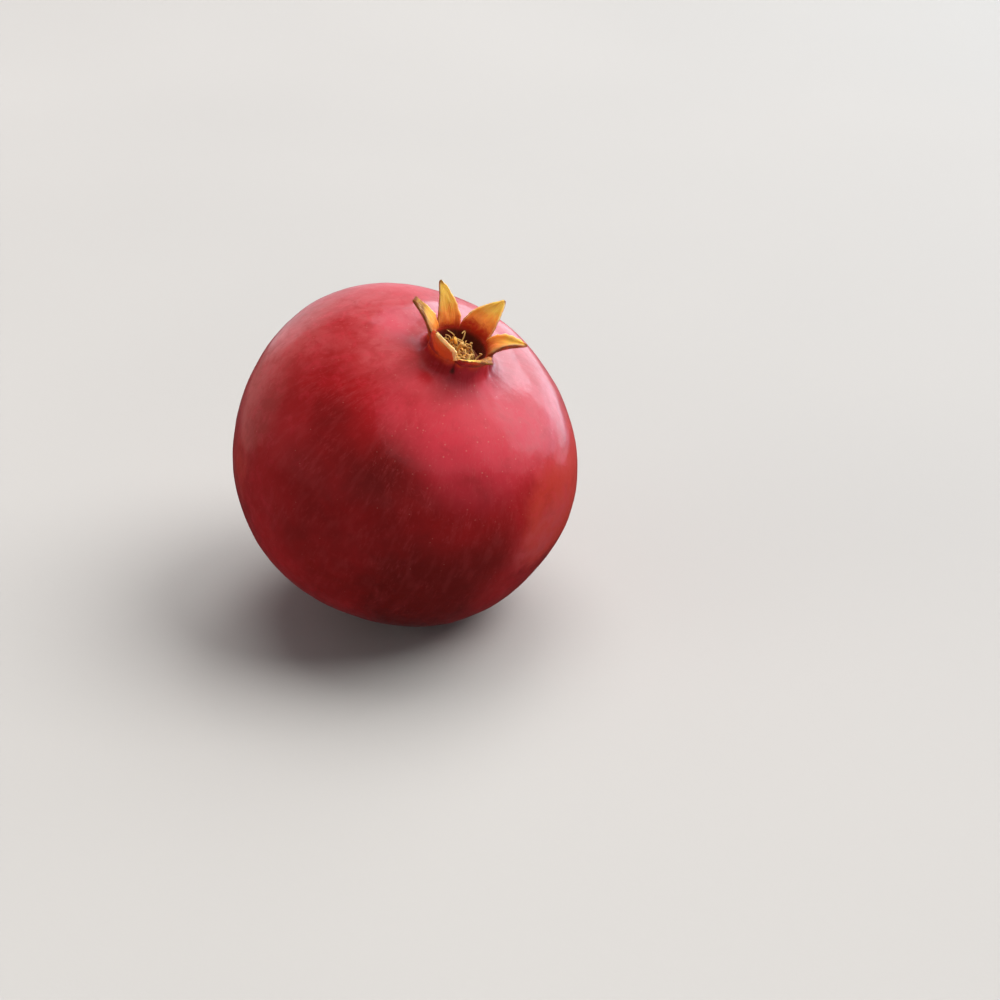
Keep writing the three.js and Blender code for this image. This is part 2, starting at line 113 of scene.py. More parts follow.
# ---- Fineness ----

COLUMNS = 40  # per sepal, carried down the whole fruit
SKIN_ROWS = 200
EVEN_BELOW = 60  # degrees below the neck's foot where the columns are evenly spaced
NECK_ROWS = 26
SEPAL_ROWS = 34
CUP_ROWS = 14
SPINE_STEPS = 60
NUDGE = 1e-3  # step over which a sepal's slope is taken
SHARP = 60  # angle above which an edge isn't shaded smooth

# ---- Small helpers ----


def unit(v):
    return v / np.linalg.norm(v, axis=-1, keepdims=True)


def smooth(low, high, x):
    """A smooth ramp from 0 at low to 1 at high."""
    t = clip((x - low) / (high - low), 0, 1)
    return t * t * (3 - 2 * t)


def bell(x, width):
    """1 where x is 0, and softly less on both sides."""
    return exp(-((x / width) ** 2))


def lerp(a, b, t):
    return a + (b - a) * t


def cubic(a, b, c, d, t):
    """Points of the Bezier curve from a to d."""
    return (1 - t) ** 3 * a + 3 * (1 - t) ** 2 * t * b + 3 * (1 - t) * t**2 * c + t**3 * d


def direction(polar, azimuth):
    """Unit vectors at polar angles from +Z and azimuths from +X."""
    polar, azimuth = np.broadcast_arrays(polar, azimuth)
    ring = sin(polar)
    return stack([ring * cos(azimuth), ring * sin(azimuth), cos(polar)], -1)


def ring_angles(count):
    return arange(count) / count * 2 * pi


def wrapped(azimuth, girth, level):
    """Points on a tube, to read noise at without a seam."""
    return stack(np.broadcast_arrays(cos(azimuth) * girth, sin(azimuth) * girth, level), -1)


def turned(axis, angle):
    """A turn about an axis by degrees."""
    return array(Matrix.Rotation(radians(angle), 3, Vector(axis)))


def clouds(points, size, octaves, seed=0.0):
    """Soft noise from about -1 to 1, with lumps of about the given size."""
    flat = points.reshape(-1, 3) / size + seed
    fade, step = 0.7, 2.1  # from each layer of the noise to the next finer one
    values = [noise.fractal(p, fade, step, octaves) for p in flat.tolist()]
    return array(values).reshape(points.shape[:-1])


def mounds(way, places):
    """Soft mounds added up, each with its polar angle, azimuth, height and spread."""
    total = zeros(way.shape[:-1])
    for polar, azimuth, height, spread in places:
        middle = direction(radians(polar), radians(azimuth))
        total = total + height * bell(np.arccos(clip(way @ middle, -1, 1)), radians(spread))
    return total


# ---- Frames ----


def fruit_turn():
    up = direction(radians(LEAN), radians(LEAN_TOWARDS))
    right = unit(array([1.0, 0, 0]) - up * up[0])
    return stack([right, cross(up, right), up], -1)


FRUIT_TURN = fruit_turn()
CROWN_TURN = turned(direction(pi / 2, radians(CROWN_TILT_TOWARDS + 90)), CROWN_TILT)


def fruit_to_row(points):
    return points @ FRUIT_TURN.T + MIDDLE


def crown_to_fruit(points):
    return points @ CROWN_TURN.T + array([0, 0, CROWN_ORIGIN])


def crown_to_row(points):
    return fruit_to_row(crown_to_fruit(points))


# ---- Skin ----


def skin_point(polar, azimuth):
    """Points of the smooth skin in the fruit frame. polar is 0 at the crown."""
    way = direction(polar, azimuth)
    across = (abs(sin(polar)) / EQUATOR_RADIUS) ** FULLNESS
    along = (abs(cos(polar)) / POLAR_RADIUS) ** FULLNESS
    radius = (across + along) ** (-1 / FULLNESS) + mounds(way, SWELLINGS)
    fade = 1 - RIB_FADE * (1 - cos(polar))
    wave = cos(RIBS * azimuth + radians(RIB_TURN))
    radius = radius + RIB_HEIGHT * fade * wave * sin(polar) ** 2
    return way * radius[..., None]


# ---- Sepals ----

# On a sepal across goes from -1 to 1 between its sides, and along from 0 at the mouth to 1 at its tip.
ACROSS, ALONG = np.meshgrid(linspace(-1, 1, COLUMNS + 1), linspace(0, 1, SEPAL_ROWS + 1))


def sepal_spine(sepal, along):
    """The middle line's lean, and how far out and up it has gone."""
    root, tip = (radians(a) for a in sepal.lean)
    steps = linspace(0, 1, SPINE_STEPS + 1)
    bend = steps / SEPAL_ROOT
    beyond = (steps - SEPAL_ROOT) / (1 - SEPAL_ROOT)
    lean = where(steps < SEPAL_ROOT, root * bend * (2 - bend), lerp(root, tip, beyond))
    middle = (lean[1:] + lean[:-1]) / 2
    step = sepal.length / SPINE_STEPS
    out = concatenate([[0], cumsum(sin(middle))]) * step
    up = concatenate([[0], cumsum(cos(middle))]) * step
    return interp(along, steps, lean), interp(along, steps, out), interp(along, steps, up)


def sepal_width(sepal, along):
    """Half of the sepal's width, at its root and along it."""
    root = MOUTH_RADIUS * sin(radians(sepal.half))
    return root, root * (1 - along) * (1 + sepal.belly * along) + sepal.tip / 2 * along**2


def sepal_point(sepal, across, along):
    """Points of the sepal's middle surface in the crown frame."""
    half = radians(sepal.half)
    azimuth = radians(sepal.azimuth)
    root_width, width = sepal_width(sepal, along)
    arc = 1 - cos(across * half)
    curl_along = CURL_MIDDLE * along * (1 - along) + CURL_TIP * along
    curl_width = minimum(1, width / root_width + CURL_SPARE)
    curl = arc / (1 - cos(half)) * sepal.cup * curl_along * curl_width
    inward = MOUTH_RADIUS * arc * (1 - along) ** SEPAL_EASE + curl
    lean, out, up = sepal_spine(sepal, along)
    lean = lean * clip(along / SEPAL_ROOT, 0, 1)
    x = MOUTH_RADIUS + out - inward * cos(lean) + sepal.slant * across * along
    y = sin(across * half) / sin(half) * width + sepal.side * along**SEPAL_EASE
    z = MOUTH_HEIGHT + up + inward * sin(lean)
    c, s = cos(azimuth), sin(azimuth)
    return stack([x * c - y * s, x * s + y * c, z], -1)


def sepal_azimuth(sepal, across):
    """The azimuths of the columns that a sepal stands on."""
    return radians(sepal.azimuth + sepal.half * across)


def sepal_ways(sepal, across, along):
    """Unit vectors sideways in the middle surface, and outwards, which is level at the mouth."""
    sideways = sepal_point(sepal, across + NUDGE, along) - sepal_point(sepal, across - NUDGE, along)
    above = sepal_point(sepal, across, minimum(along + NUDGE, 1))
    below = sepal_point(sepal, across, maximum(along - NUDGE, 0))
    level = direction(pi / 2, sepal_azimuth(sepal, across))
    outwards = where(along[..., None] == 0, level, unit(cross(sideways, above - below)))
    return unit(sideways), outwards


def cup_wall_radius(height):
    share = clip((MOUTH_HEIGHT - height) / (CUP_DEPTH * CUP_WALL_SHARE), 0, 1)
    return lerp(MOUTH_RADIUS - WALL / 2, CUP_RADIUS, share)


# ---- Relief ----

SKIN_LUMPS = [(14, 0.16, 2), (4.5, 0.045, 2)]  # size, height and octaves
SKIN_PUCKERS = 0.018  # fine radial wrinkles round the neck and the stem

SEPAL_FREE = 0.16  # share of a sepal's length over which its own relief sets in
SEPAL_BUCKLE = 0.28
SEPAL_RAGGED = 0.3
SEPAL_VEINS = 0.07
EDGE_ROUND = 0.14  # share of a sepal's half width over which its edge is rounded
TIP_ROUND = 0.06
EDGE_LEAST = 0.16  # share of its thickness that is left at the edge

KEEL = 0.22  # ribs that run down the neck from the middle of each sepal
KEEL_LEVEL = 0.35  # share of them that lies below the neck's round
NECK_WRINKLES = 0.11
CUP_WRINKLES = 0.18

# Folds down the neck from between two sepals: azimuth, depth, how much painted shade lies along its bottom,
# and how dark the dry spot at its end is.
FOLDS = [
    (-24, 0.3, 0, 0), (24, 0.3, 0, 0), (88, 0.3, 0, 0),
    (138, 0.4, 0, 0), (181, 0.9, 0.4, 0), (257, 0.9, 1, 1),
]
FOLD_DEPTH, FOLD_SHADE, FOLD_END = 1, 2, 3
FOLD_WIDTH = 0.9

ROLLED_SEPAL = 4  # the sepal at the front whose rim is rolled over, so that its pale inside shows
ROLL_WIDTH = 1.1
ROLL_HEIGHT = 0.3


def folds(azimuth, width, column):
    """The folds between the sepals, with one column of the table as their strength."""
    total = zeros_like(azimuth)
    for fold in FOLDS:
        off = (azimuth - radians(fold[0]) + pi) % (2 * pi) - pi
        total = total + fold[column] * bell(off * MOUTH_RADIUS, width)
    return total


def rolled_rim(sepal, across, along):
    """1 on the rolled rim of a sepal's one side and 0 off it."""
    from_edge = (1 - across) * sepal_width(sepal, along)[1]
    reach = ROLL_WIDTH * lerp(0.45, 1.2, along)
    return (1 - smooth(0.85, 1.1, from_edge / reach)) * smooth(0.02, 0.12, along)


def skin_relief(points, polar, azimuth):
    """How far the skin stands out from its smooth form."""
    rise = sum(height * clouds(points, size, octaves, seed=size) for size, height, octaves in SKIN_LUMPS)
    near_ends = bell(polar, 0.62) + 0.7 * bell(pi - polar, 0.4)
    return rise + SKIN_PUCKERS * near_ends * clouds(wrapped(azimuth, 6, polar * 3), 1, 2, seed=3.7)


def sepal_faces(number):
    """A sepal's outer and inner face in the fruit frame, in rows from the mouth to the tip."""
    sepal = SEPALS[number]
    sideways, outwards = sepal_ways(sepal, ACROSS, ALONG)
    free = smooth(0, SEPAL_FREE, ALONG)

    # The middle surface, buckled and with ragged sides.
    at = stack([ACROSS * 1.2, ALONG * 2.2, full_like(ALONG, number)], -1)
    buckle = SEPAL_BUCKLE * free * clouds(at, 1, 2, number)
    rags = clouds(at * [0, 3, 1] + np.sign(ACROSS)[..., None] * 5, 1, 3, number)
    ragged = SEPAL_RAGGED * free * ACROSS * abs(ACROSS) ** 3 * rags
    middle = sepal_point(sepal, ACROSS, ALONG) + outwards * buckle[..., None] + sideways * ragged[..., None]

    # Its thickness, rounded off to the sides and the tip.
    tapered = WALL * (1 - TIP_TAPER * ALONG) * (1 - EDGE_TAPER * ACROSS**2)
    to_edge = minimum((1 - abs(ACROSS)) / EDGE_ROUND, (1 - ALONG) / TIP_ROUND)
    rounding = sqrt(1 - (1 - clip(to_edge, 0, 1)) ** 2)
    thick = maximum(tapered, LEAST_WALL) * lerp(1, maximum(rounding, EDGE_LEAST), free)
    thick = where(ALONG == 0, WALL, thick)

    # The relief of its outer and inner face.
    veins = at * [9, 0.7, 1]
    outer = SEPAL_VEINS * free * clouds(veins, 1, 2, number + 9)
    inner = SEPAL_VEINS * free * clouds(veins + 30, 1, 2, number)
    outer = outer - (1 - free) * folds(sepal_azimuth(sepal, ACROSS), FOLD_WIDTH, FOLD_DEPTH)
    if number == ROLLED_SEPAL:
        outer = outer + ROLL_HEIGHT * rolled_rim(sepal, ACROSS, ALONG)
    rises = thick / 2 + outer, -thick / 2 - inner
    return [crown_to_fruit(middle + outwards * rise[..., None]) for rise in rises]


# ---- Mesh building ----


def add_object(name, data):
    thing = bpy.data.objects.new(name, data)
    bpy.context.scene.collection.objects.link(thing)
    return thing


class Sheet:
    """Points with their values, and faces, for one mesh object. to_row takes points to the row frame."""

    def __init__(self, to_row):
        self.to_row = to_row
        self.points = []
        self.values = {}
        self.faces = []
        self.kinds = []
        self.count = 0

    def add(self, points, **values):
        """Adds points, with a number or a vector for each, and gives back their numbers."""
        shape = points.shape[:-1]
        total = prod(shape)
        self.points.append(self.to_row(points).reshape(total, 3))
        for name, value in values.items():
            value = np.asarray(value, float)
            size = (3,) if value.ndim > len(shape) else ()
            filled = np.broadcast_to(value, shape + size).reshape((total,) + size)
            self.values.setdefault(name, []).append(filled)
        numbers = arange(self.count, self.count + total).reshape(shape)
        self.count += total
        return numbers

    def join(self, rows, closed=False, flip=False, kind=0):
        """Joins rows of point numbers with quads. closed joins each row's last point to its first."""
        if closed:
            rows = concatenate([rows, rows[:, :1]], 1)
        if flip:
            rows = rows[:, ::-1]
        corners = [rows[:-1, :-1], rows[:-1, 1:], rows[1:, 1:], rows[1:, :-1]]
        faces = stack(corners, -1).reshape(-1, 4).tolist()
        self.faces += faces
        self.kinds += [kind] * len(faces)

    def cap(self, ring, point, flip=False, kind=0, **values):
        """Closes a ring of point numbers with triangles round one more point."""
        centre = int(self.add(point, **values)[0])
        after = np.roll(ring, -1)
        first, second = (after, ring) if flip else (ring, after)
        self.faces += [[centre, int(a), int(b)] for a, b in zip(first, second)]
        self.kinds += [kind] * len(ring)

    def make(self, name, materials, sharp=False):
        mesh = bpy.data.meshes.new(name)
        points = concatenate(self.points) * MM
        mesh.from_pydata(points.tolist(), [], self.faces)
        for key, parts in self.values.items():
            data = concatenate(parts)
            kind, field = ("FLOAT_VECTOR", "vector") if data.ndim == 2 else ("FLOAT", "value")
            mesh.attributes.new(key, kind, "POINT").data.foreach_set(field, data.ravel().astype(np.float32))
        mesh.shade_smooth()
        if sharp:
            mesh.set_sharp_from_angle(angle=radians(SHARP))
        for material in materials:
            mesh.materials.append(material)
        mesh.polygons.foreach_set("material_index", self.kinds)
        return add_object(name, mesh)


# ---- Blotches of colour on the skin ----

# Where the skin is paler, rosier, darker or more orange than its red: polar angle, azimuth, strength and
# spread. Some of this is the skin's own mottling, and much is painted light and shade: painted sheen and
# highlights in the pale and rosy patches, painted bounce light and highlights in the orange ones, and
# painted shade in the dark ones.
# Partly the skin's own paler patches, and partly painted highlights and sheen beside the crown, on the left
# edge and on the right.
PALE_AND_PAINTED_SHEEN_PLACES = [
    (80, 177, 1.1, 14), (66, 168, 0.95, 11), (48, 176, 0.35, 8), (23, 158, 2.2, 9),
    (26, -178, 0.4, 7), (76, -49, 0.5, 6), (74, -40, 1.1, 9), (68, -27, 0.6, 8),
    (38, 138, 0.8, 18), (43, -178, 0.3, 12), (30, -165, 0.4, 9), (33, -10, 0.35, 22),
    (33, -32, 1.25, 13), (33, -110, 0.35, 9), (97, -166, 0.35, 16), (120, 60, 0.8, 26),
    (165, 90, 0.9, 20),
]
# Partly the skin's own rosy tone, and partly painted sheen near the crown and on the upper right.
ROSY_AND_PAINTED_SHEEN_PLACES = [
    (40, -95, 0.65, 15), (50, -72, 0.6, 12), (30, -132, 0.45, 14), (30, -60, 0.7, 20),
    (14, -68, 0.8, 7), (38, -30, 0.6, 14), (24, 160, 0.9, 8), (42, 118, 0.7, 14),
    (50, 60, 0.7, 26), (100, 120, 0.8, 30),
]
# Painted shade, most of it over the lower front, under the neck and towards the bottom.
PAINTED_SHADE_PLACES = [
    (76, -128, 0.45, 24), (93, -84, 0.9, 23), (66, -98, 0.25, 14), (51, -147, 0.6, 11),
    (55, -118, 0.5, 11), (23, -112, 0.3, 7), (100, -120, 0.25, 18), (108, -78, 0.7, 14),
    (85, 80, 0.8, 28), (76, -62, 0.4, 12), (15, -95, 0.3, 9), (24, 4, 0.2, 13),
    (97, -80, 0.5, 15), (50, -78, 0.25, 14), (68, -61, 0.25, 9), (50, -107, 0.3, 12),
    (52, -66, 0.3, 12),
]
# Partly the skin's own orange, and partly painted light: bounce light and a highlight on the lower right,
# and light on the neck's left side.
ORANGE_AND_PAINTED_LIGHT_PLACES = [
    (64, -26, 0.95, 22), (88, -2, 0.6, 20), (60, 15, 0.4, 16), (97, -166, 0.6, 12),
    (60, 60, 0.6, 22), (72, -38, 0.7, 10), (15, -165, 0.4, 8), (172, -120, 0.9, 24),
]
# Small dry brown spots.
SCARS = [
    (64, 60, 1.2, 1.1), (88, 150, 1.0, 0.8), (122, -10, 1.1, 0.9), (75, 100, 0.9, 0.6),
]

NOISE_UNIT = 10  # the rind's material reads its noise in centimetres
STREAK_STRETCH = 0.35  # along the fruit against round it, so that streaks run along it


def rind_values(points, polar, azimuth, along, **more):
    """What the rind's material reads at each point, given in the fruit frame. along is 0 at the mouth, 1 at
    a sepal's tip, and -1 at the neck's foot and in the middle of the cup's floor. Below the foot it goes on
    to the stem."""
    way = unit(points)
    girth = EQUATOR_RADIUS / NOISE_UNIT
    values = dict(
        form=points / NOISE_UNIT,
        streak=wrapped(azimuth, girth, polar * girth * STREAK_STRETCH),
        # The pale, rosy and orange masks carry painted sheen, highlights and bounce light as well as the
        # skin's own mottling. The dark mask is painted shade.
        pale=mounds(way, PALE_AND_PAINTED_SHEEN_PLACES),
        rosy=mounds(way, ROSY_AND_PAINTED_SHEEN_PLACES),
        dark=mounds(way, PAINTED_SHADE_PLACES),
        orange=mounds(way, ORANGE_AND_PAINTED_LIGHT_PLACES),
        scar=mounds(way, SCARS),
        along=along,
    )
    return values | dict(tint=0.5, dull=0.0, rolled=0.0, crease=0.0) | more


# ---- Rind, neck and sepals ----

# How yellow each sepal is inside and outside, how brown, how much browner on one side, and at its tip.
SepalLook = namedtuple("SepalLook", "inside outside brown side tip")
SEPAL_LOOKS = [
    SepalLook(1.1, 0.5, 0.42, -0.35, 0.1),
    SepalLook(0.8, 0.4, 0, 0, 0.1),
    SepalLook(1.1, 0.5, 0, 0.25, 0),
    SepalLook(1.4, 0.1, 0.25, 0.6, 1.1),
    SepalLook(0.8, 0.05, 0, 0, 0.1),
    SepalLook(1.0, -0.4, 0.7, 0.9, 0),
]
OUTSIDE_LEAN = 0.8  # how much more yellow the outside of a sepal is on one side
# A crease is painted shade along the bottom of a fold.
CREASE_WIDTH = 0.32  # of the dark line at the bottom of a fold
CREASE_SHADE = 0.6
CREASE_END = 0.77  # share of the neck's height at which it ends, in a dry spot
SPOT_WIDTH = 0.75
SPOT_HEIGHT = 0.1
ALONG_STEP = 20  # degrees of the skin for 1 less in along

STEM_RADIUS = 2.4
SOCKET_DEPTH = 1.6

# The columns of the whole fruit: each one's azimuth, and how near it is to the side of its sepal.
AZIMUTHS = concatenate([sepal_azimuth(sepal, ACROSS[0, :-1]) for sepal in SEPALS])
EDGES = np.tile(abs(ACROSS[0, :-1]), len(SEPALS))
FOOT = radians(NECK_FOOT)


def skin_rings():
    """The skin's rings from the stem's socket up to the neck's foot, with their angles."""
    polar = linspace(pi, FOOT, SKIN_ROWS + 1)[1:, None]
    evenly = AZIMUTHS[0] + ring_angles(AZIMUTHS.size)
    azimuth = lerp(AZIMUTHS, evenly, clip((polar - FOOT) / radians(EVEN_BELOW), 0, 1))
    polar = polar + zeros_like(azimuth)
    points = skin_point(polar, azimuth)
    from_stem = (pi - polar) * POLAR_RADIUS - STEM_RADIUS
    rise = skin_relief(points, polar, azimuth) - SOCKET_DEPTH * (1 - smooth(0.1, 0.7, from_stem))
    return points + unit(points) * rise[..., None], polar, azimuth


def neck_rings(foot_ring, mouth):
    """The neck: in each column a curve from the skin's own slope to the crown's axis, with keels."""
    at_foot = skin_point(full_like(AZIMUTHS, FOOT), AZIMUTHS)
    above = skin_point(full_like(AZIMUTHS, FOOT - 0.01), AZIMUTHS)
    near_foot = foot_ring + unit(above - at_foot) * NECK_EASE
    near_mouth = mouth - CROWN_TURN[:, 2] * NECK_EASE
    up = linspace(0, 1, NECK_ROWS + 1)[1:-1, None]
    rings = cubic(foot_ring, near_foot, near_mouth, mouth, up[..., None])
    wrinkles = NECK_WRINKLES * clouds(wrapped(AZIMUTHS, 5, up * 1.5), 1, 3)
    standing = sin(up * pi) * (KEEL * ((1 - EDGES) ** 2 - KEEL_LEVEL) + wrinkles)
    return rings + direction(pi / 2, AZIMUTHS) @ CROWN_TURN.T * standing[..., None]


def crease_shade_lines(azimuth):
    return CREASE_SHADE * folds(azimuth, CREASE_WIDTH, FOLD_SHADE)


def neck_creases(along):
    """The lines of painted shade down the neck's folds. The darkest one ends in a dry spot."""
    above_end = along + 1 - CREASE_END
    spot = folds(AZIMUTHS, SPOT_WIDTH, FOLD_END)
    return smooth(0, 0.2, above_end) * crease_shade_lines(AZIMUTHS) + bell(above_end, SPOT_HEIGHT) * spot


def add_skin_and_neck(sheet, mouth):
    """Adds the outside up to the mouth, and gives back the numbers of the mouth's ring."""
    skin, polar, azimuth = skin_rings()
    rings = concatenate([skin, neck_rings(skin[-1], mouth), mouth[None]])
    above = zeros((NECK_ROWS, 1)) + AZIMUTHS
    below_foot = (degrees(polar[:, :1]) - NECK_FOOT) / ALONG_STEP
    along = concatenate([-1 - below_foot, linspace(-1, 0, NECK_ROWS + 1)[1:, None]])
    polar = concatenate([polar, full_like(above, FOOT)])
    azimuth = concatenate([azimuth, above])
    values = rind_values(rings, polar, azimuth, along, edge=EDGES, inside=0.0, crease=neck_creases(along))
    outer = sheet.add(rings, **values)
    sheet.join(outer, closed=True)

    pole = array([pi]), array([0.0])
    middle = skin_point(*pole) + [0, 0, SOCKET_DEPTH]
    values = rind_values(middle, *pole, -9.0, edge=0.0, inside=0.0)
    sheet.cap(outer[0], middle, flip=True, **values)
    return outer[-1]


def add_cup(sheet, lip):
    """Adds the cup, and gives back the numbers of the mouth's inner ring."""
    share = linspace(0, 1, CUP_ROWS + 1)[1:-1, None]
    wall_share = minimum(1, share / CUP_WALL_SHARE)
    turn = maximum(0, (share - CUP_WALL_SHARE) / (1 - CUP_WALL_SHARE)) * pi / 2
    height = MOUTH_HEIGHT - CUP_DEPTH * (CUP_WALL_SHARE * wall_share + (1 - CUP_WALL_SHARE) * sin(turn))
    wrinkles = clouds(wrapped(AZIMUTHS, 9, height / 4), 1, 2) * sin(share * pi)
    radius = cup_wall_radius(height) * cos(turn) - CUP_WRINKLES * wrinkles
    cup = direction(pi / 2, AZIMUTHS) * radius[..., None]
    cup[..., 2] = height + zeros_like(radius)
    cup = concatenate([lip[None], crown_to_fruit(cup)])
    azimuth = zeros((CUP_ROWS, 1)) + AZIMUTHS
    down = linspace(0, -1, CUP_ROWS + 1)[:-1, None]
    rings = sheet.add(cup, **rind_values(cup, 0, azimuth, down, edge=EDGES, inside=1.0))
    sheet.join(rings, closed=True, kind=1)

    middle = crown_to_fruit(array([[0, 0, MOUTH_HEIGHT - CUP_DEPTH]]))
    values = rind_values(middle, 0, zeros(1), -1.0, edge=0.0, inside=1.0)
    sheet.cap(rings[-1], middle, kind=1, **values)
    return rings[0]


def add_sepal(sheet, number, faces, mouth_rings):
    """Carries the mouth's two rings up to a sepal's tip, and closes its sides and end."""
    sepal, looks = SEPALS[number], SEPAL_LOOKS[number]
    across, along = ACROSS[1:], ALONG[1:]
    azimuth = sepal_azimuth(sepal, across)
    brown = looks.brown + looks.side * across + looks.tip * smooth(0.4, 0.85, along)
    creases = crease_shade_lines(azimuth) * (1 - smooth(0.02, 0.1, along))
    rolled = rolled_rim(sepal, across, along) * (number == ROLLED_SEPAL)
    tints = looks.outside + OUTSIDE_LEAN * across, looks.inside
    columns = (number * COLUMNS + arange(COLUMNS + 1)) % AZIMUTHS.size
    looks = dict(edge=abs(across), dull=clip(brown, 0, 1), rolled=rolled)
    sides = []
    for inside, (face, ring) in enumerate(zip(faces, mouth_rings)):
        looks.update(inside=inside, tint=tints[inside], crease=creases * (1 - inside))
        values = rind_values(face[1:], FOOT, azimuth, along, **looks)
        numbers = sheet.add(face[1:], **values)
        sides.append(concatenate([ring[columns][None], numbers]))
    outer, inner = sides
    sheet.join(outer, kind=1)
    sheet.join(inner, flip=True, kind=1)
    sheet.join(stack([inner[:, 0], outer[:, 0]], -1), kind=1)
    sheet.join(stack([outer[:, -1], inner[:, -1]], -1), kind=1)
    sheet.join(stack([outer[-1], inner[-1]]), kind=1)


def build_rind(skin_finish, crown_finish):
    sheet = Sheet(fruit_to_row)
    sepals = [sepal_faces(number) for number in range(len(SEPALS))]
    mouth, lip = (concatenate([faces[side][0, :-1] for faces in sepals]) for side in (0, 1))
    mouth_rings = add_skin_and_neck(sheet, mouth), add_cup(sheet, lip)
    for number, faces in enumerate(sepals):
        add_sepal(sheet, number, faces, mouth_rings)

    # What lies below the ground is pressed flat against it.
    for points in sheet.points:
        points[:, 2] = maximum(points[:, 2], 0)
    return sheet.make("rind_and_crown", [skin_finish, crown_finish], sharp=True)


# ---- Stamens ----

DISC_RADIUS = 5.2  # of the part of the disc that carries stamens
DISC_DISH = (1.4, 3.0)  # height of its top, in the middle and at that radius
DISC_FLARE = 0.9  # how far its rim goes on
FLARE_SLOPE = 0.5
DISC_THICK = 1.0
DISC_CRUMPLE = 0.22
DISC_ROWS = 26
DISC_UNDER_ROWS = 8
DISC_COLUMNS = 96

STAMENS = 150
STAMEN_SEED = 5
STAMEN_HEIGHT = (3.8, 6.6)  # of the anthers, in the crown frame
STAMEN_RISE = (0.85, 1.05)  # factor of it, for the innermost and the outermost
STAMEN_REACH = (-2.6, 1.3)  # how far an anther stands out from its root
STAMEN_CROOK = 0.9
STAMEN_BENDS = ((0.3, 0.5), (0.6, 0.85))  # a filament's two bends, as shares of its height
STAMENS_LEAN = array([-1.3, 0.3, 0])  # which leaves a hollow at the other side
INNERMOST = 0.2  # root's share of the disc's radius
ROOT_SUNK = 0.2
WALL_GAP = (1.0, 0.45)  # from the cup's wall to the tips, and to the filaments

FILAMENT_RADIUS = 0.17
FILAMENT_TAPER = (1.35, 0.8)  # factor of it at the root and at the tip
FILAMENT_GIRTH = (0.8, 1.25)  # and from one filament to another
FILAMENT_STEPS = 20
FILAMENT_SIDES = 6
FILAMENT_WAVE = 0.12
CURL_SHARE = 0.45  # of a filament's length, at its end
CURL_RADIUS = (0.25, 0.75)
CURL_TURN = (0.6, 1.7)  # half turns

ANTHER_SHARE = 0.4  # of the stamens still carry one
ANTHER_HALF_SIZE = (0.46, 0.34, 0.74)
ANTHER_SCALE = (0.6, 1.15)
ANTHER_GROOVE = 0.42
ANTHER_CRUMPLE = 0.22
ANTHER_ROWS = 9
ANTHER_COLUMNS = 12

STYLE_RADIUS = 0.34
STYLE_TOP = (0.5, 0.3, 6.2)  # from its foot in the middle of the disc
STYLE_BOW = (-0.5, 0.2, 0)
STYLE_SUNK = 0.3
STYLE_STEPS = 17
STYLE_SIDES = 12


def disc_top(radius):
    return lerp(*DISC_DISH, minimum(1, radius / DISC_RADIUS) ** 2)


def add_tube(sheet, path, radii, sides, **values):
    """A tube of rings round a path, closed at both ends."""
    tangent = unit(np.gradient(path, axis=0))
    normal = unit(cross(tangent, [0.31, 0.52, 0.79]))  # any way that no path follows
    binormal = cross(tangent, normal)
    turn = ring_angles(sides)[:, None]
    ring = normal[:, None] * cos(turn) + binormal[:, None] * sin(turn)
    points = path[:, None] + ring * radii[:, None, None]
    share = linspace(0, 1, len(path))[:, None]
    rows = sheet.add(points, share=share, **values)
    sheet.join(rows, closed=True)
    for row, outward in ((0, -1), (-1, 1)):
        end = path[[row]] + tangent[[row]] * radii[row] * outward
        sheet.cap(rows[row], end, flip=row == 0, share=share[row, 0], **values)


def add_anther(sheet, centre, spin, scale, random, **values):
    """A dried anther: two lobes with a groove between them, crumpled."""
    polar = linspace(0, pi, ANTHER_ROWS + 1)[1:-1, None]
    way = direction(polar, ring_angles(ANTHER_COLUMNS))
    groove = 1 - ANTHER_GROOVE * bell(way[..., 0], 0.3) * abs(way[..., 1])
    crumple = 1 + ANTHER_CRUMPLE * clouds(way, 0.7, 2, seed=random.uniform(0, 50))
    points = way * array(ANTHER_HALF_SIZE) * scale * (groove * crumple)[..., None]
    rows = sheet.add(points @ spin.T + centre, share=1.0, **values)
    sheet.join(rows[::-1], closed=True)
    for row, end in ((0, 1), (-1, -1)):
        tip = centre + spin @ array([0, 0, end * ANTHER_HALF_SIZE[2] * scale])
        sheet.cap(rows[row], tip[None], flip=row == -1, share=1.0, **values)


